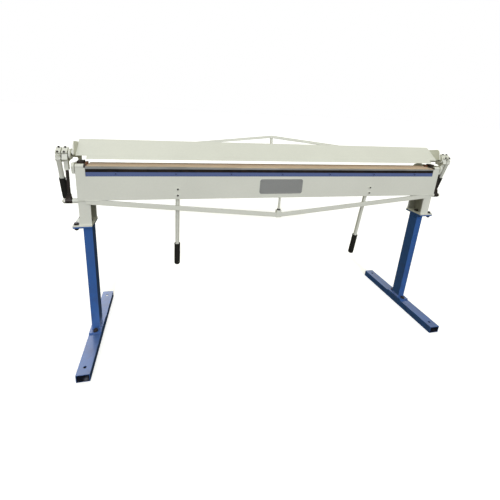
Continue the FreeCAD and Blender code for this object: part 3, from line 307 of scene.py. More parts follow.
def settled_grime():
    """Dust and grease: strongest below a height, in soft patches and runs."""
    tree, given, out = effect(
        "Settled grime",
        {"Colour": (1.0, 1.0, 1.0), "Grime": (0.1, 0.1, 0.1), "Amount": 0.3, "Height": 0.2},
        {"Colour": tuple},
    )
    place = tree.place()
    low = tree.math("SUBTRACT", 1.0, tree.math("DIVIDE", tree.along(2), given["Height"]))
    patches = tree.ramp(tree.noise(place, 14.0, 5.0, 0.62), 0.42, 0.72)
    runs = tree.ramp(tree.noise(tree.stretch(place, (60.0, 60.0, 4.0)), 1.0, 3.0), 0.5, 0.8)
    cover = tree.math("MAXIMUM", tree.math("MULTIPLY", patches, 0.8), tree.math("MULTIPLY", runs, 0.5))
    depth = tree.add("ShaderNodeClamp", {"Value": tree.math("ADD", low, 0.15)}).outputs[0]
    mask = tree.math("MULTIPLY", tree.math("MULTIPLY", cover, depth), given["Amount"])
    give(tree, out, Colour=tree.mix(mask, given["Colour"], given["Grime"]))
    return tree.tree


def inner_shade_and_dust():
    """Painted shade, with a little dust, inside tubes, channels and sockets, which carry the attribute
    inside.
    """
    tree, given, out = effect(
        "Inner dark", {"Colour": (1.0, 1.0, 1.0), "Dark": (0.01, 0.01, 0.01)}, {"Colour": tuple}
    )
    inside = tree.add("ShaderNodeAttribute", attribute_name="inside").outputs["Fac"]
    patches = tree.ramp(tree.noise(tree.place(), 22.0, 4.0), 0.3, 0.7, 0.85, 1.0)
    give(tree, out, Colour=tree.mix(tree.math("MULTIPLY", inside, patches), given["Colour"], given["Dark"]))
    return tree.tree


def ground_lines():
    """Fine lines of a surface grinder along X, with slow bright and dull bands."""
    tree, given, out = effect(
        "Ground lines",
        {"Metal": (1.0, 1.0, 1.0), "Stain": (0.4, 0.2, 0.1), "Stained": 0.3, "Depth": 0.1},
        {"Colour": tuple, "Roughness": float, "Height": float},
    )
    place = tree.place()
    lines = tree.noise(tree.stretch(place, (3.0, 900.0, 900.0)), 1.0, 3.0, 0.6)
    bands = tree.noise(tree.stretch(place, (5.0, 60.0, 60.0)), 1.0, 3.0)
    cloud = tree.noise(tree.stretch(place, (1.0, 2.5, 2.5)), 5.5, 5.0, 0.6)
    tone = tree.math(
        "ADD", tree.ramp(lines, 0.3, 0.7, 0.93, 1.04), tree.ramp(bands, 0.3, 0.7, -0.04, 0.05)
    )
    metal = tree.mix(1.0, given["Metal"], tree.grey(tone), "MULTIPLY")
    stain = tree.math("MULTIPLY", tree.ramp(cloud, 0.45, 0.75), given["Stained"])
    give(
        tree, out,
        Colour=tree.mix(stain, metal, given["Stain"]),
        Roughness=tree.ramp(bands, 0.3, 0.7, 0.3, 0.46),
        Height=tree.math("MULTIPLY", lines, given["Depth"]),
    )
    return tree.tree


def rust_bloom():
    """Thin brown bloom on bare steel: fine specks inside larger patches."""
    tree, given, out = effect(
        "Rust bloom", {"Metal": (0.5, 0.5, 0.5), "Rust": (0.3, 0.1, 0.03), "Amount": 0.5},
        {"Colour": tuple, "Roughness": float, "Height": float},
    )
    place = tree.place()
    patch = tree.ramp(tree.noise(place, 32.0, 6.0, 0.66), 0.36, 0.66)
    speck = tree.ramp(tree.noise(place, 260.0, 3.0), 0.35, 0.65)
    mask = tree.math("MULTIPLY", tree.math("MULTIPLY_ADD", speck, 0.45, patch), given["Amount"])
    cover = tree.add("ShaderNodeClamp", {"Value": mask}).outputs[0]
    give(
        tree, out,
        Colour=tree.mix(cover, given["Metal"], given["Rust"]),
        Roughness=tree.ramp(mask, 0.0, 1.0, 0.36, 0.68),
        Height=speck,
    )
    return tree.tree


EFFECTS = {}


def use(tree, name, **inputs):
    """Places a shared effect in a material."""
    node = tree.add("ShaderNodeGroup", node_tree=EFFECTS[name])
    for key, value in inputs.items():
        socket = node.inputs[key]
        if isinstance(value, bpy.types.NodeSocket):
            tree.tree.links.new(value, socket)
        else:
            socket.default_value = value if isinstance(value, float) else (*value, 1)
    return node.outputs


def open_finish(name):
    """Empties a material, or makes it, and returns its tree."""
    made = bpy.data.materials.get(name) or bpy.data.materials.new(name)
    made.use_nodes = True
    made.node_tree.nodes.clear()
    return Tree(made.node_tree)


def close_finish(tree, base, roughness, height, bump, grain, **fixed):
    """Adds a material's shader, its bump with the grain's height in millimetres, and the values
    that are the same all over."""
    bumped = tree.add(
        "ShaderNodeBump", {"Height": height, "Strength": bump, "Distance": grain * MM}
    ).outputs[0]
    shader = tree.add(
        "ShaderNodeBsdfPrincipled", {"Base Color": base, "Roughness": roughness, "Normal": bumped}
    )
    for key, value in fixed.items():
        shader.inputs[key.replace("_", " ")].default_value = value
    tree.add("ShaderNodeOutputMaterial", {"Surface": shader.outputs[0]})


def make_enamel(name, colour, gloss, worn, shine, coat, dirt=0.0, dirt_height=1.0):
    """Sprayed enamel, worn along its edges, grimy low down, and with shade painted inside."""
    paints = settings("brake_paints")
    tree = open_finish(name)
    film = use(tree, "Enamel film", Paint=colour, Tone=0.035, Gloss=gloss)
    grimy = use(
        tree, "Settled grime", Colour=film["Colour"], Grime=paints.grime, Amount=dirt,
        Height=dirt_height,
    )
    rubbed = use(tree, "Edge wear", Colour=grimy["Colour"], Under=srgb(120, 116, 108), Amount=worn)
    # Painted shade inside tubes, channels and sockets.
    inner = use(tree, "Inner dark", Colour=rubbed["Colour"], Dark=paints.inside)
    close_finish(
        tree, inner["Colour"], film["Roughness"], film["Height"], bump=0.12, grain=0.4,
        Coat_Weight=coat, Coat_Roughness=0.2, Specular_IOR_Level=shine,
    )


def make_bed_steel():
    """The bed: ground along its length, oiled and browned, with brighter edges."""
    paints = settings("brake_paints")
    tree = open_finish("bed_steel")
    lines = use(tree, "Ground lines", Metal=paints.bed, Stain=paints.brown, Stained=0.3, Depth=0.5)
    rubbed = use(tree, "Edge wear", Colour=lines["Colour"], Under=srgb(222, 218, 210), Amount=1.3)
    close_finish(
        tree, rubbed["Colour"], lines["Roughness"], lines["Height"], bump=0.25, grain=0.3,
        Metallic=0.35, Sheen_Weight=1.0, Sheen_Roughness=0.45, Sheen_Tint=(1.0, 0.78, 0.6, 1),
    )


def make_bar_steel():
    """The bending bar: near-black below, ground bright above it, and along its top browned like
    the bed, except near its left end."""
    paints = settings("brake_paints")
    tree = open_finish("bar_steel")
    waves = tree.noise(tree.stretch(tree.place(), (8.0, 1.0, 1.0)), 1.0)
    level = tree.math("ADD", tree.along(2), tree.math("MULTIPLY", waves, 2.5 * MM))
    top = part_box("bending_bar")[1].z
    bright = tree.ramp(level, top - 9.6 * MM, top - 8.4 * MM)
    handled = tree.ramp(tree.along(0), -0.5, -0.2, 0.15, 1.0)
    browned = tree.math("MULTIPLY", tree.ramp(level, top - 1.6 * MM, top - 0.6 * MM), handled)
    lines = use(
        tree, "Ground lines", Metal=srgb(176, 178, 176), Stain=srgb(120, 100, 84), Stained=0.3,
        Depth=0.5,
    )
    worked = use(tree, "Ground lines", Metal=paints.bed, Stain=paints.brown, Stained=0.3, Depth=0.5)
    rust = use(tree, "Rust bloom", Metal=paints.scale, Rust=srgb(64, 50, 42), Amount=0.5)
    front = tree.mix(bright, rust["Colour"], lines["Colour"])
    colour = tree.mix(browned, front, worked["Colour"])
    close_finish(
        tree, colour, lines["Roughness"], lines["Height"], bump=0.2, grain=0.3, Metallic=0.35
    )


def make_plain_steel(name, metal, rust_tone, rusted, metallic):
    """Small steel pieces with a thin bloom of rust."""
    tree = open_finish(name)
    rust = use(tree, "Rust bloom", Metal=metal, Rust=rust_tone, Amount=rusted)
    rubbed = use(tree, "Edge wear", Colour=rust["Colour"], Under=srgb(150, 148, 144), Amount=0.5)
    close_finish(
        tree, rubbed["Colour"], rust["Roughness"], rust["Height"], bump=0.12, grain=0.2,
        Metallic=metallic,
    )


def make_grip_rubber():
    """Matt rubber with fine pores."""
    tree = open_finish("grip_rubber")
    dust = use(tree, "Enamel film", Paint=settings("brake_paints").rubber, Tone=0.12, Gloss=0.5)
    pores = tree.noise(tree.place(), 700.0, 2.0)
    close_finish(
        tree, dust["Colour"], dust["Roughness"], pores, bump=0.25, grain=0.3,
        Specular_IOR_Level=0.2,
    )


def make_plain_plate():
    """Satin grey plate with a brighter rim."""
    tree = open_finish("plain_plate")
    film = use(tree, "Enamel film", Paint=settings("brake_paints").plate, Tone=0.05, Gloss=0.4)
    rubbed = use(tree, "Edge wear", Colour=film["Colour"], Under=srgb(186, 184, 178), Amount=1.2)
    close_finish(
        tree, rubbed["Colour"], film["Roughness"], film["Height"], bump=0.1, grain=0.3,
        Coat_Weight=0.2,
    )


def make_finishes():
    """Every finish of the brake, named as the record's material slots."""
    for build in (enamel_film, edge_wear, settled_grime, inner_shade_and_dust, ground_lines, rust_bloom):
        group = build()
        EFFECTS[group.name] = group
    paints = settings("brake_paints")
    make_enamel("cream_paint", paints.cream, gloss=0.42, worn=0.3, shine=0.4, coat=0.12)
    make_enamel(
        "blue_paint", paints.blue, gloss=0.3, worn=0.6, shine=0.6, coat=0.8, dirt=0.5,
        dirt_height=0.55,
    )
    make_enamel("packing_blue", paints.strip, gloss=0.5, worn=0.4, shine=0.3, coat=0.1)
    make_bed_steel()
    make_bar_steel()
    for name, metal, rust_tone, rusted, metallic in (
        ("black_steel", paints.black, srgb(88, 66, 52), 0.28, 0.25),
        ("bare_steel", srgb(158, 132, 104), srgb(132, 72, 36), 0.8, 0.4),
        ("tube_steel", paints.bright, srgb(128, 112, 96), 0.16, 0.3),
        ("fastener", paints.zinc, srgb(110, 100, 92), 0.3, 0.8),
    ):
        make_plain_steel(name, metal, rust_tone, rusted, metallic)
    make_grip_rubber()
    make_plain_plate()


# Shaping
def merged(node):
    """A closed copy of a CAD node with its flat faces whole again."""
    bm = bmesh.new()
    bm.from_mesh(NODES[node].data)
    bmesh.ops.remove_doubles(bm, verts=bm.verts, dist=0.001 * MM)
    bmesh.ops.dissolve_limit(bm, angle_limit=math.radians(0.5), verts=bm.verts, edges=bm.edges)
    return bm


def break_edges(bm, width, steps=None):
    """Rounds each sharp outer edge, and marks the new faces as worn edge."""
    edges = settings("brake_edges")
    mark = bm.loops.layers.float.get("edge") or bm.loops.layers.float.new("edge")
    bm.normal_update()
    outer = [
        e for e in bm.edges
        if len(e.link_faces) == 2 and e.is_convex
        and e.calc_face_angle(0.0) > math.radians(edges.sharp)
    ]
    made = bmesh.ops.bevel(
        bm, geom=outer, offset=width, offset_type="OFFSET", affect="EDGES",
        segments=steps or edges.steps, profile=0.5, material=-1, clamp_overlap=True,
        miter_outer="ARC", loop_slide=True,
    )
    for face in made["faces"]:
        for corner in face.loops:
            corner[mark] = 1.0
    return bm


def shade_inside(bm, depth, within):
    """Marks the faces whose middle is inside something for painted shade, from 0 to 1."""
    mark = bm.loops.layers.float.get("inside") or bm.loops.layers.float.new("inside")
    bm.normal_update()
    for face in bm.faces:
        if within(face.calc_center_median(), face.normal):
            for corner in face.loops:
                corner[mark] = depth
    return bm


def piece(name, bm, body, slot, *stands_for, sharp=35.0):
    """Turns a mesh into a finished piece: shaded, painted, and riding on its body."""
    mesh = bpy.data.meshes.new(name)
    bm.to_mesh(mesh)
    bm.free()
    made = bpy.data.objects.new(name, mesh)
    bpy.context.scene.collection.objects.link(made)
    mesh.materials.append(bpy.data.materials[slot])
    mesh.shade_smooth()
    mesh.set_sharp_from_angle(angle=math.radians(sharp))
    shading = made.modifiers.new("Flat faces stay flat", "WEIGHTED_NORMAL")
    shading.keep_sharp = True
    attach(made, body)
    if stands_for:
        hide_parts(*stands_for)


def dress(node, bm, **options):
    """Stands a mesh in for a CAD node, on the node's body and in its finish."""
    piece(node + ".dressed", bm, BODY_OF[node], SLOT_OF[node], node, **options)


def soften(width, *nodes):
    """Stands a copy with broken edges in for each CAD node."""
    for node in nodes:
        dress(node, break_edges(merged(node), width))


def solids(node):
    """The points of each separate solid of a CAD node, from left to right."""
    bm = merged(node)
    left, found = set(bm.verts), []
    while left:
        reached, front = [], [left.pop()]
        while front:
            vert = front.pop()
            reached.append(vert.co.copy())
            for edge in vert.link_edges:
                other = edge.other_vert(vert)
                if other in left:
                    left.remove(other)
                    front.append(other)
        found.append(reached)
    bm.free()
    return sorted(found, key=lambda points: min(tuple(p) for p in points))


def middle(points):
    return sum(points, Vector()) / len(points)


def circle(centre, first, second, radius, count):
    """Points round a circle that lies along two directions."""
    return [
        Vector(centre) + (Vector(first) * math.cos(a) + Vector(second) * math.sin(a)) * radius
        for a in (step * math.tau / count for step in range(count))
    ]


def shafts(node, axis):
    """Each round solid of a node as the start, end and direction of its centre line. An axis
    along X points away from the middle of the brake on either side."""
    found = []
    for points in solids(node):
        centre, along = middle(points), Vector(axis).normalized()
        if abs(along.x) > 0.5 and centre.x < 0:
            along = -along
        reach = [(p - centre).dot(along) for p in points]
        found.append((centre + along * min(reach), centre + along * max(reach), along))
    return found


def lean_of(node):
    """Direction, downwards, of a straight tube or sleeve."""
    points = solids(node)[0]
    level = middle(points).z
    upper, lower = ([p for p in points if (p.z > level) == side] for side in (True, False))
    return (middle(lower) - middle(upper)).normalized()


def turned(axis):
    """Rotation that points a piece made along +Z along another direction."""
    return Vector(UP).rotation_difference(Vector(axis)).to_matrix().to_4x4()


def join(bm, part, place, axis, turn=0.0):
    """Adds a part made along +Z at the origin to a mesh, at its place and direction."""
    bmesh.ops.recalc_face_normals(part, faces=part.faces)
    part.transform(Matrix.Translation(place) @ turned(axis) @ Matrix.Rotation(turn, 4, "Z"))
    shell = bpy.data.meshes.new("part")
    part.to_mesh(shell)
    part.free()
    bm.from_mesh(shell)
    bpy.data.meshes.remove(shell)
    return bm


def in_mm(*profile):
    """A profile given in millimetres."""
    return [(radius * MM, height * MM) for radius, height in profile]


def lathe(bm, profile, place, axis=UP, steps=48):
    """Spins a profile of (radius, height) points about an axis through a point."""
    part = bmesh.new()
    points = [part.verts.new((radius, 0, height)) for radius, height in profile]
    edges = [part.edges.new(pair) for pair in zip(points, points[1:])]
    bmesh.ops.spin(
        part, geom=points + edges, cent=(0, 0, 0), axis=(0, 0, 1), angle=math.tau,
        steps=steps, use_merge=True, use_normal_flip=False,
    )
    bmesh.ops.remove_doubles(part, verts=part.verts, dist=0.002 * MM)
    return join(bm, part, place, axis)


def hexagon(bm, place, axis, radius, height, turn=0.0):
    """A hexagon head with a turned chamfer, standing on a point along an axis."""
    rise = radius * settings("brake_fittings").chamfer
    flat, sixth = radius * math.cos(math.pi / 6), math.tau / 6
    part = bmesh.new()
    bmesh.ops.create_circle(part, cap_ends=True, segments=24, radius=radius)
    part.faces.ensure_lookup_table()
    face = part.faces[0]
    for vert in face.verts:
        angle = math.atan2(vert.co.y, vert.co.x) % sixth
        vert.co.xy = vert.co.xy.normalized() * flat / math.cos(angle - sixth / 2)
    for lift in (height - rise, rise):
        grown = bmesh.ops.extrude_face_region(part, geom=[face])["geom"]
        face = next(g for g in grown if isinstance(g, bmesh.types.BMFace))
        bmesh.ops.translate(part, vec=(0, 0, lift), verts=face.verts[:])
    for vert in face.verts:
        vert.co.xy = vert.co.xy.normalized() * flat * 0.98
    return join(bm, part, place, axis, turn)


def thread(bm, place, axis, radius, height):
    """The end of a bolt: rings of crests and roots, and a flat tip."""
    fit = settings("brake_fittings")
    turns = max(1, int(height / fit.thread_step))
    step = height / turns
    low = radius - fit.thread_depth
    profile = [(radius, 0.0)]
    for turn in range(turns):
        profile += [(low, (turn + 0.5) * step), (radius, (turn + 1) * step)]
    profile[-1] = (low, height)
    profile.append((0.0, height))
    lathe(bm, profile, place, axis, 24)


def washer(bm, place, axis, outer, inner, thick):
    """A flat ring with a broken upper rim."""
    rim = min(0.3 * MM, thick / 3)
    lathe(bm, [
        (inner, 0), (outer, 0), (outer, thick - rim), (outer - rim, thick), (inner, thick), (inner, 0),
    ], place, axis, 40)


def beads(bm, line, normal, radius, closed=False):
    """A fillet weld along a line of points: overlapping ripples that lean along the seam."""
    edges = settings("brake_edges")
    pitch, normal = edges.ripple, Vector(normal).normalized()
    line = [Vector(point) for point in line]
    runs = list(zip(line, line[1:])) + ([(line[-1], line[0])] if closed else [])
    for start, end in runs:
        reach = (end - start).length
        along = (end - start).normalized()
        count = max(1, round(reach / pitch))
        lean = Matrix((along, normal.cross(along), normal)).transposed().to_4x4()
        for index in range(count):
            # Each ripple differs a little, by a fixed rule.
            swell = 1 + edges.swell * math.sin(index * 2.4 + start.x * 70 + start.z * 45)
            centre = Matrix.Translation(start + along * ((index + 0.5) * reach / count))
            size = Matrix.Diagonal((pitch * 1.05, radius * swell, radius * swell, 1))
            bmesh.ops.create_icosphere(
                bm, subdivisions=1, radius=1.0, matrix=centre @ lean @ size
            )
    return bm


def stitches(bm, span, y, z, normal, count, half, radius):
    """Short welds, evenly spaced along X."""
    low, high = span
    for step in range(count):
        x = low + (high - low) * (step + 0.5) / count
        beads(bm, [(x - half, y, z), (x + half, y, z)], normal, radius)


# Pieces
class BRAKE_OT_finishes(bpy.types.Operator):
    """Make the paints, metals and rubber"""

    bl_idname = "brake.finishes"
    bl_label = "Finishes"

    def execute(self, context):
        make_finishes()
        return {"FINISHED"}


class BRAKE_OT_stand(bpy.types.Operator):
    """Round the box tube of feet and posts, and run the welds round them"""

    bl_idname = "brake.stand"
    bl_label = "Feet and posts"

    def execute(self, context):
        for side, _ in SIDES:
            self.foot(side + "_foot")
            soften(settings("brake_edges").sheet, side + "_post")
            self.welds(side)
        return {"FINISHED"}

    def foot(self, node):
        """A length of box tube, with shade painted inside."""
        low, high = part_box(node)
        wall = 2 * MM

        def in_tube(place, facing):
            return (
                abs(facing.y) < 0.9 and low.x + wall < place.x < high.x - wall
                and low.z + wall < place.z < high.z - wall
            )

        bm = break_edges(merged(node), settings("brake_edges").tube)
        # Paints shade on the tube's inner faces.
        dress(node, shade_inside(bm, 1.0, in_tube))

    def welds(self, side):
        """Beads round both ends of a post's tube, and along its base plate on the foot."""
        edges, fit = settings("brake_edges"), settings("brake_fittings")
        low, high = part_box(side + "_foot")
        centre = (low.x + high.x) / 2
        base_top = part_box("base_bolts")[1].z - fit.bolt_head - fit.collar_height
        flange_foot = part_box("flange_nuts")[1].z
        tube_wide, tube_deep, lift = 20 * MM, 30 * MM, 0.6 * MM
        bm = bmesh.new()
        for height in (base_top + lift, flange_foot - lift):
            ring = [
                (centre + x * tube_wide, y * tube_deep, height)
                for x, y in ((-1, -1), (1, -1), (1, 1), (-1, 1))
            ]
            beads(bm, ring, UP, edges.weld, closed=True)
        plate_deep, inset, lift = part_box(side + "_post")[1].y, 8 * MM, 0.8 * MM
        for y in (-plate_deep, plate_deep):
            line = [(x, y, high.z + lift) for x in (low.x + inset, high.x - inset)]
            beads(bm, line, UP, edges.weld * 0.9)
        piece(side + "_post.welds", bm, "stand", "blue_paint")


class BRAKE_OT_columns(bpy.types.Operator):
    """Break the edges of the columns, and weld them to their flanges"""

    bl_idname = "brake.columns"
    bl_label = "Columns"

    def execute(self, context):
        edges = settings("brake_edges")
        flange, wall, wide, deep, boss = 8 * MM, 3 * MM, 52 * MM, 53 * MM, 12.5 * MM
        for side, sign in SIDES:
            node = side + "_column"
            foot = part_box(node)[0].z + flange
            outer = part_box(side + "_end_plate")[0 if sign > 0 else 1].x
            inner = outer - sign * wide

            def in_channel(place, facing):
                return (
                    abs(place.x) < abs(outer) - wall and abs(place.y) < deep - wall
                    and place.z > foot + MM
                )

            # The channel's inner faces get painted shade at a little under half strength.
            dress(node, shade_inside(break_edges(merged(node), edges.sheet), 0.45, in_channel))
            line = [(x, y, foot) for x, y in ((inner, -deep), (outer, -deep), (outer, deep), (inner, deep))]
            bm = beads(bmesh.new(), line, UP, edges.weld)
            stud = middle(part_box("link_studs"))
            ring = circle((outer, stud.y, stud.z), BACK, UP, boss, 20)
            beads(bm, ring, OUTWARD, edges.weld * 0.8, closed=True)
            piece(side + "_column.welds", bm, "stand", "cream_paint")
        return {"FINISHED"}


class BRAKE_OT_bed(bpy.types.Operator):
    """Break the edges of the beam, the ground bed, the end plates and their stops"""

    bl_idname = "brake.bed"
    bl_label = "Bed and end plates"

    def execute(self, context):
        edges = settings("brake_edges")
        soften(edges.tube, "bed_beam")
        soften(edges.ground, "bed_top_plate")
        soften(edges.sheet, "left_end_plate", "right_end_plate", "stop_blocks", "leaf_buffers")
        low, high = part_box("bed_beam")
        reach = 930 * MM
        bm = bmesh.new()
        for y in (low.y, high.y):
            stitches(bm, (-reach, reach), y, high.z - 0.5 * MM, UP, 9, 30 * MM, edges.weld * 0.9)
        piece("bed_beam.welds", bm, "stand", "cream_paint")
        return {"FINISHED"}


class BRAKE_OT_fasteners(bpy.types.Operator):
    """Make the bolts, nuts, screws, pins and studs"""

    bl_idname = "brake.fasteners"
    bl_label = "Fasteners"

    def execute(self, context):
        self.frame_bolts("base_bolts", 0.0)
        self.frame_bolts("flange_bolts", settings("brake_fittings").tail)
        self.nuts()
        self.socket_screws("bar_screws", FRONT, radius=5.0, head=4.0, shank=3.0, socket=2.5)
        self.socket_screws("handle_screws", FRONT, radius=7.0, head=5.0, shank=4.0, socket=4.8)
        cap_lean = math.radians(43.6)
        cap_axis = (0, -math.sin(cap_lean), math.cos(cap_lean))
        for side, _ in SIDES:
            for part in ("hub", "link"):
                node = f"{side}_{part}_bolts"
                self.socket_screws(node, cap_axis, radius=4.5, head=4.0, shank=2.5, socket=2.2)
        self.plate_heads()
        self.pins("hinge_pins", radius=8.0, head=6.5, shank=6.0, inward=True)
        self.pins("heel_pins", radius=13.0, head=8.0, shank=9.0)
        self.studs()
        self.domed_screws()
        return {"FINISHED"}

    def frame_bolts(self, node, tail):
        """Hexagon bolts with a collar under the head. The tail is the thread past the nut."""
        fit = settings("brake_fittings")
        bm = bmesh.new()
        for number, (start, end, along) in enumerate(shafts(node, UP)):
            seat = end - along * (fit.collar_height + fit.bolt_head)
            washer(bm, seat, along, fit.collar, fit.shank, fit.collar_height)
            turn = number * 0.7
            hexagon(bm, seat + along * fit.collar_height, along, fit.bolt, fit.bolt_head, turn)
            thread(bm, seat, -along, fit.shank, (seat - start).length + tail)
        dress(node, bm)

    def nuts(self):
        """The nuts under the flanges, each turned a little differently."""
        fit = settings("brake_fittings")
        bm = bmesh.new()
        for number, (start, _, along) in enumerate(shafts("flange_nuts", (0, 0, -1))):
            hexagon(bm, start, along, fit.bolt, fit.nut_height, number * 0.5)
        dress("flange_nuts", bm)

    def socket_screws(self, node, axis, radius, head, shank, socket):
        """Round heads with a rounded rim and shade painted in the socket. The sizes are in millimetres."""
        rim, floor, inner = min(1.0, head / 3), head * 0.45, socket * 0.96
        lines = shafts(node, axis)
        bm = bmesh.new()
        for start, end, along in lines:
            seat = end - along * head * MM
            lathe(bm, in_mm(
                (shank, 0), (radius, 0), (radius, head - rim), (radius - rim * 0.3, head - rim * 0.3),
                (radius - rim, head), (socket, head), (inner, head - 0.2), (inner, floor),
                (0, floor - 0.4),
            ), seat, along, 30)
            reach = (seat - start).length / MM
            lathe(bm, in_mm((shank, 0), (shank, reach), (0, reach)), seat, -along, 20)

        def in_socket(place, facing):
            return min((place - start).cross(along).length for start, _, along in lines) < socket * MM

        # Marks the sockets' insides for painted shade.
        dress(node, shade_inside(bm, 1.0, in_socket))

    def plate_heads(self):
        """Low hexagon heads of the screws that hold the end plates."""
        radius, head = 7 * MM, 2.5 * MM
        bm = bmesh.new()
        for _, end, along in shafts("end_plate_screws", OUTWARD):
            hexagon(bm, end - along * head, along, radius, head)
        dress("end_plate_screws", bm)

    def pins(self, node, radius, head, shank, inward=False):
        """Turned pins with a shallow dimple in the head. The sizes are in millimetres."""
        rim = 1.5
        bm = bmesh.new()
        for start, end, along in shafts(node, OUTWARD):
            if inward:
                start, end, along = end, start, -along
            seat = end - along * head * MM
            reach = (start - seat).length / MM
            lathe(bm, in_mm(
                (0, -reach), (shank, -reach), (shank, 0), (radius, 0), (radius, head - rim),
                (radius - rim, head), (shank * 0.45, head), (shank * 0.3, head - 1.2), (0, head - rim),
            ), seat, along, 40)
        dress(node, bm)

    def studs(self):
        """The links' studs: a hexagon, a threaded end with a domed tip, and a threaded root."""
        head, stub, tip, overlap = 8.0 * MM, 4.0 * MM, 1.0 * MM, 0.1 * MM
        corner, shank = 12 * MM, 8 * MM
        bm = bmesh.new()
        for start, end, along in shafts("link_studs", OUTWARD):
            seat = end - along * (head + stub + tip)
            hexagon(bm, seat, along, corner, head, 0.4)
            thread(bm, seat + along * (head - overlap), along, shank, stub + 2 * overlap)
            dome = in_mm((7.2, 0), (6.4, 0.6), (3.5, 0.9), (0, 1.0))
            lathe(bm, dome, end - along * tip, along, 24)
            thread(bm, seat, -along, shank, (seat - start).length)
        dress("link_studs", bm)

    def domed_screws(self):
        """Domed heads of the front plate's screws."""
        bm = bmesh.new()
        for start, _, along in shafts("name_plate_screws", FRONT):
            dome = in_mm((0, 0), (3, 0), (2.9, 0.5), (2.3, 1.1), (1.2, 1.5), (0, 1.6))
            lathe(bm, dome, start, along, 24)
        dress("name_plate_screws", bm)


class BRAKE_OT_bending_leaf(bpy.types.Operator):
    """Dress the bending leaf: plate, bars, barrels, stiffener and truss"""

    bl_idname = "brake.bending_leaf"
    bl_label = "Bending leaf"

    def execute(self, context):
        edges = settings("brake_edges")
        soften(
            edges.sheet, "apron_plate", "apron_stiffener", "apron_truss", "left_hinge_barrel",
            "right_hinge_barrel",
        )
        soften(edges.ground, "bending_bar", "packing_bar")
        self.truss_stud()
        self.welds()
        return {"FINISHED"}

    def truss_stud(self):
        """A painted rod screwed into the truss's boss, with a dark nut on it."""
        low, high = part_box("apron_truss_stud")
        centre, shank, tall = (low + high) / 2, 6 * MM, high.z - low.z
        foot = Vector((centre.x, centre.y, low.z))
        bm = bmesh.new()
        lathe(bm, [(0, 0), (shank, 0), (shank, tall), (0, tall)], foot)
        piece("truss_stud.rod", bm, "bending_leaf", "cream_paint", "apron_truss_stud")
        nut_foot = Vector((centre.x, centre.y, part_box("apron_truss")[0].z + 41 * MM))
        bm = hexagon(bmesh.new(), nut_foot, UP, settings("brake_fittings").bolt, 6 * MM, 0.3)
        piece("truss_stud.nut", bm, "bending_leaf", "black_steel", "apron_truss_stud")

    def welds(self):
        """Beads at the truss's ends and stud, under the barrels and along the stiffener."""
        weld = settings("brake_edges").weld
        (_, front, foot), (_, back, _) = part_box("apron_plate")
        bm = bmesh.new()
        for y in (front + 0.4 * MM, back + 1.4 * MM):
            for sign in (-1, 1):
                beads(bm, [(sign * 885 * MM, y, foot), (sign * 945 * MM, y, foot)], UP, weld)
        stud = middle(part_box("apron_truss_stud"))
        ring = circle((stud.x, stud.y, foot - 0.8 * MM), OUTWARD, BACK, 7 * MM, 12)
        beads(bm, ring, UP, weld * 0.8, closed=True)
        inset, lift = 3 * MM, 0.5 * MM
        for side, _ in SIDES:
            low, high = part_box(side + "_hinge_barrel")
            line = [(x, back + lift, low.z - lift) for x in (low.x + inset, high.x - inset)]
            beads(bm, line, UP, weld)
        low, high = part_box("apron_stiffener")
        for z in (low.z, high.z):
            stitches(bm, (low.x, high.x), low.y, z, BACK, 10, 25 * MM, weld)
        piece("bending_leaf.welds", bm, "bending_leaf", "cream_paint")


class BRAKE_OT_pull_handles(bpy.types.Operator):
    """Make the pull handles of the bending leaf, their saddles and rubber grips"""

    bl_idname = "brake.pull_handles"
    bl_label = "Pull handles"

    def execute(self, context):
        edges, fit = settings("brake_edges"), settings("brake_fittings")
        soften(edges.sheet, "apron_handle_blocks")
        for side, _ in SIDES:
            soften(edges.ground, side + "_apron_handle")
            make_grip(side + "_apron_grip", fit.pull_grip, fit.pull_collar, fit.pull_collar_height)
        inset = 4 * MM
        bm = bmesh.new()
        for points in solids("apron_handle_blocks"):
            low = Vector(min(p[axis] for p in points) for axis in range(3))
            high = Vector(max(p[axis] for p in points) for axis in range(3))
            for x in (low.x, high.x):
                line = [(x, low.y, low.z + inset), (x, low.y, high.z - inset)]
                beads(bm, line, BACK, edges.weld)
        piece("handle_saddles.welds", bm, "bending_leaf", "cream_paint")
        return {"FINISHED"}


def make_grip(node, radius, collar=None, collar_height=None):
    """A moulded grip: rounded closed end, shallow rings, and a collar where it has one."""
    fit = settings("brake_fittings")
    start, end, along = shafts(node, lean_of(node))[0]
    reach, groove, round_off = (end - start).length, fit.grip_groove, fit.grip_round
    mouth, plug = 0.6 * MM, reach - fit.plug
    wide = collar or radius
    profile = [
        (fit.bore, plug), (fit.bore, mouth), (fit.bore + mouth, 0.0),
        (wide - MM, 0.0), (wide - 0.3 * MM, 0.3 * MM), (wide, MM),
    ]
    if collar:
        profile += [
            (wide, collar_height - MM), (wide - 0.3 * MM, collar_height - 0.3 * MM),
            (radius + 0.4 * MM, collar_height), (radius, collar_height + 1.2 * MM),
        ]
    first = profile[-1][1] + 5 * MM
    for ring in range(4):
        height = first + ring * fit.ring_step
        profile += [
            (radius, height - MM), (radius - groove, height - MM / 2),
            (radius - groove, height + MM / 2), (radius, height + MM),
        ]
    swell = 0.25 * MM
    profile += [(radius + swell, reach / 2), (radius, reach - round_off - 6 * MM)]
    for step in range(9):
        angle = step / 8 * math.pi / 2
        profile.append((
            radius + round_off * (math.cos(angle) - 1), reach + round_off * (math.sin(angle) - 1)
        ))
    profile.append((0.0, reach))
    bm = bmesh.new()
    lathe(bm, profile, start, along)
    lathe(bm, [(0.0, plug), (fit.bore, plug)], start, along)
    bmesh.ops.remove_doubles(bm, verts=bm.verts, dist=0.01 * MM)
    dress(node, bm, sharp=50.0)


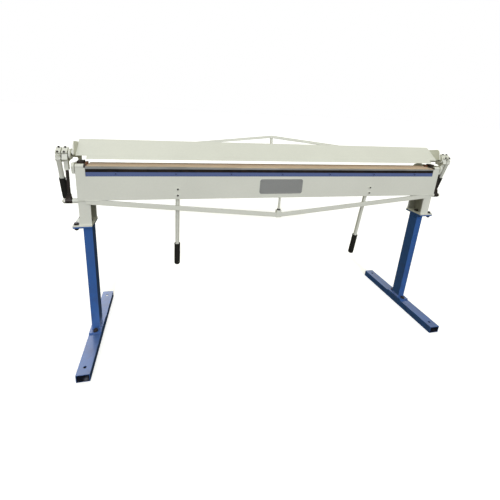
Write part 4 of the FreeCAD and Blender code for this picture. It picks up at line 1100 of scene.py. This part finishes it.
class BRAKE_OT_front_plate(bpy.types.Operator):
    """Make the plain front plate with a raised rim and a bare field"""

    bl_idname = "brake.front_plate"
    bl_label = "Front plate"

    def execute(self, context):
        fit = settings("brake_fittings")
        bm = merged("name_plate")
        bm.normal_update()
        front = max((f for f in bm.faces if f.normal.y < -0.9), key=lambda f: f.calc_area())
        for width, depth in ((fit.plate_rim, 0.0), (fit.plate_slope, -fit.plate_sink)):
            bmesh.ops.inset_region(
                bm, faces=[front], thickness=width, depth=depth, use_even_offset=True
            )
        dress("name_plate", break_edges(bm, settings("brake_edges").rim, 2))
        return {"FINISHED"}


class BRAKE_OT_clamp_leaf(bpy.types.Operator):
    """Dress the clamp leaf: nose bar, face, base, ribs, cheeks, truss and arms"""

    bl_idname = "brake.clamp_leaf"
    bl_label = "Clamp leaf"

    def execute(self, context):
        edges = settings("brake_edges")
        soften(edges.ground, "nose_bar")
        soften(edges.sheet, "leaf_base", "leaf_face", "leaf_ribs", "leaf_truss", "leaf_truss_post")
        for side, _ in SIDES:
            soften(edges.sheet, side + "_cheek", side + "_leaf_arm")
        bm = bmesh.new()
        self.rib_welds(bm, edges.weld)
        self.truss_welds(bm, edges.weld)
        piece("clamp_leaf.welds", bm, "clamp_leaf", "cream_paint")
        return {"FINISHED"}

    def rib_welds(self, bm, weld):
        """Beads on both sides of each rib, along the base and behind the face."""
        for points in solids("leaf_ribs"):
            foot = min(points, key=lambda p: p.y)
            top = max(points, key=lambda p: p.z)
            heel = min((p for p in points if p.y > foot.y + 30 * MM), key=lambda p: p.z)
            for x in (min(p.x for p in points), max(p.x for p in points)):
                for far in (top, heel):
                    beads(bm, [(x, foot.y, foot.z), (x, far.y, far.z)], OUTWARD, weld)

    def truss_welds(self, bm, weld):
        """Rings round both ends of the truss's post, and beads under the truss's feet."""
        start, end, along = shafts("leaf_truss_post", -lean_of("leaf_truss_post"))[0]
        across = along.cross(Vector(OUTWARD))
        for place in (start + along * 0.8 * MM, end - along * 6.5 * MM):
            beads(bm, circle(place, OUTWARD, across, 9 * MM, 14), along, weld, closed=True)
        truss = solids("leaf_truss")[0]
        for sign in (-1, 1):
            foot = sorted((p for p in truss if p.x * sign > 860 * MM), key=lambda p: p.z)[:4]
            for y in (min(p.y for p in foot), max(p.y for p in foot)):
                level = middle([p for p in foot if abs(p.y - y) < 2 * MM])
                line = [(sign * x * MM, level.y, level.z) for x in (872, 899)]
                beads(bm, line, along, weld)


class BRAKE_OT_clamp_gear(bpy.types.Operator):
    """Dress the cranks, clamp handles, link heads and link rods"""

    bl_idname = "brake.clamp_gear"
    bl_label = "Clamp gear"

    def execute(self, context):
        edges = settings("brake_edges")
        for side, _ in SIDES:
            soften(edges.turned, side + "_crank_shaft")
            soften(edges.casting, side + "_clamp_handle", side + "_link_head", side + "_link_rod")
            make_grip(side + "_clamp_grip", settings("brake_fittings").clamp_grip)
        return {"FINISHED"}


class BRAKE_OT_stage(bpy.types.Operator):
    """Lay the pale floor, light it softly and stand the camera where the picture was taken"""

    bl_idname = "brake.stage"
    bl_label = "Stage"

    def execute(self, context):
        stage, scene = settings("brake_stage"), context.scene
        scene.collection.objects.link(self.floor(stage))
        scene.world = self.room(stage)
        scene.collection.objects.link(self.sun(stage))
        scene.camera = self.camera(stage)
        scene.collection.objects.link(scene.camera)
        scene.view_settings.view_transform = "Standard"
        scene.view_settings.look = "None"
        return {"FINISHED"}

    def floor(self, stage):
        """A floor that looks pale and throws little light back, as a real workshop's does."""
        bm = bmesh.new()
        bmesh.ops.create_grid(bm, x_segments=1, y_segments=1, size=stage.floor_size / 2)
        mesh = bpy.data.meshes.new("floor")
        bm.to_mesh(mesh)
        bm.free()
        tree = open_finish("pale_floor")
        speck = tree.noise(tree.place(), 60.0, 3.0)
        tone = tree.mix(speck, tuple(c * 0.985 for c in stage.floor), tuple(stage.floor))
        pale = tree.add("ShaderNodeBsdfPrincipled", {
            "Base Color": tone, "Roughness": 0.6, "Emission Color": (1, 1, 1, 1),
            "Emission Strength": stage.glow,
        })
        rays = tree.add("ShaderNodeLightPath").outputs
        thrown = tree.mix(
            rays["Is Glossy Ray"], tuple(stage.bounce), tuple(c * stage.dim for c in stage.bounce)
        )
        dull = tree.add("ShaderNodeBsdfDiffuse", {"Color": thrown})
        both = tree.add("ShaderNodeMixShader", {
            0: rays["Is Camera Ray"], 1: dull.outputs[0], 2: pale.outputs[0],
        })
        tree.add("ShaderNodeOutputMaterial", {"Surface": both.outputs[0]})
        mesh.materials.append(bpy.data.materials["pale_floor"])
        floor = bpy.data.objects.new("floor", mesh)
        return floor

    def room(self, stage):
        """A dim warm room with a broad soft light in front of the brake, and behind it a wall
        that lights the back a little and shows bright in gloss."""
        world = bpy.data.worlds.new("white_room")
        world.use_nodes = True
        world.node_tree.nodes.clear()
        tree = Tree(world.node_tree)
        view = tree.add("ShaderNodeTexCoord").outputs["Generated"]
        rays = tree.add("ShaderNodeLightPath").outputs

        def lobe(place, power):
            inputs = {0: view, 1: Vector(place).normalized()}
            facing = tree.add("ShaderNodeVectorMath", inputs, operation="DOT_PRODUCT").outputs["Value"]
            return tree.math("POWER", tree.math("MAXIMUM", facing, 0.0), power)

        wall = tree.ramp(rays["Is Glossy Ray"], 0.0, 1.0, stage.fill, stage.wall)
        strength = tree.math(
            "ADD", tree.math("MULTIPLY", lobe(stage.soft_place, 3.0), stage.softbox),
            tree.math("MULTIPLY", lobe(stage.wall_place, 2.0), wall),
        )
        # Gloss mirrors little of the room, so that the posts' sides stay dark.
        mirrored = tree.ramp(rays["Is Glossy Ray"], 0.0, 1.0, stage.sky, stage.sky * stage.dim)
        shells = [
            tree.add("ShaderNodeBackground", {"Color": (*colour, 1), "Strength": power}).outputs[0]
            for colour, power in (
                (stage.sky_colour, mirrored), (stage.sun_colour, strength), ((1, 1, 1), 1.0)
            )
        ]
        light = tree.add("ShaderNodeAddShader", {0: shells[0], 1: shells[1]})
        both = tree.add("ShaderNodeMixShader", {
            0: rays["Is Camera Ray"], 1: light.outputs[0], 2: shells[2],
        })
        tree.add("ShaderNodeOutputWorld", {"Surface": both.outputs[0]})
        return world

    def sun(self, stage):
        """The main light."""
        sun = bpy.data.lights.new("sun", "SUN")
        sun.energy = stage.sun
        sun.color = stage.sun_colour
        sun.angle = math.radians(stage.sun_spread)
        lamp = bpy.data.objects.new("sun", sun)
        lamp.matrix_world = Vector(stage.sun_place).to_track_quat("Z", "Y").to_matrix().to_4x4()
        return lamp

    def camera(self, stage):
        """The camera where the photograph's stood."""
        camera = bpy.data.objects.new("camera", bpy.data.cameras.new("camera"))
        camera.data.lens, camera.data.sensor_width = stage.lens, 36
        camera.data.shift_x, camera.data.shift_y = stage.shift_x, stage.shift_y
        camera.data.clip_start, camera.data.clip_end = 0.05, 200
        aim, right = Vector(stage.camera_aim).normalized(), Vector(stage.camera_right).normalized()
        turn = Matrix((right, right.cross(aim), -aim)).transposed().to_4x4()
        camera.matrix_world = Matrix.Translation(stage.camera_place) @ turn
        return camera


STEPS = (
    BRAKE_OT_finishes, BRAKE_OT_stand, BRAKE_OT_columns, BRAKE_OT_bed, BRAKE_OT_fasteners,
    BRAKE_OT_bending_leaf, BRAKE_OT_pull_handles, BRAKE_OT_front_plate, BRAKE_OT_clamp_leaf,
    BRAKE_OT_clamp_gear, BRAKE_OT_stage,
)
GROUPS = {
    "brake_paints": BrakePaints, "brake_edges": BrakeEdges, "brake_fittings": BrakeFittings,
    "brake_stage": BrakeStage,
}


class BRAKE_PT_panel(bpy.types.Panel):
    """Lists the brake's steps and settings"""

    bl_idname = "BRAKE_PT_panel"
    bl_label = "Brake"
    bl_space_type = "VIEW_3D"
    bl_region_type = "UI"
    bl_category = "Brake"

    def draw(self, context):
        for step in STEPS:
            self.layout.operator(step.bl_idname)
        for name, group in GROUPS.items():
            box = self.layout.box()
            for field in group.__annotations__:
                box.prop(getattr(context.scene, name), field)


def register():
    for made in (*GROUPS.values(), *STEPS, BRAKE_PT_panel):
        bpy.utils.register_class(made)
    for name, group in GROUPS.items():
        setattr(bpy.types.Scene, name, PointerProperty(type=group))


def unregister():
    for name in GROUPS:
        delattr(bpy.types.Scene, name)
    for made in (BRAKE_PT_panel, *reversed(STEPS), *GROUPS.values()):
        bpy.utils.unregister_class(made)


def main():
    register()
    for step in STEPS:
        family, name = step.bl_idname.split(".")
        if getattr(getattr(bpy.ops, family), name)() != {"FINISHED"}:
            raise RuntimeError(step.bl_label + " wasn't finished")


if __name__ == "__main__":
    main()
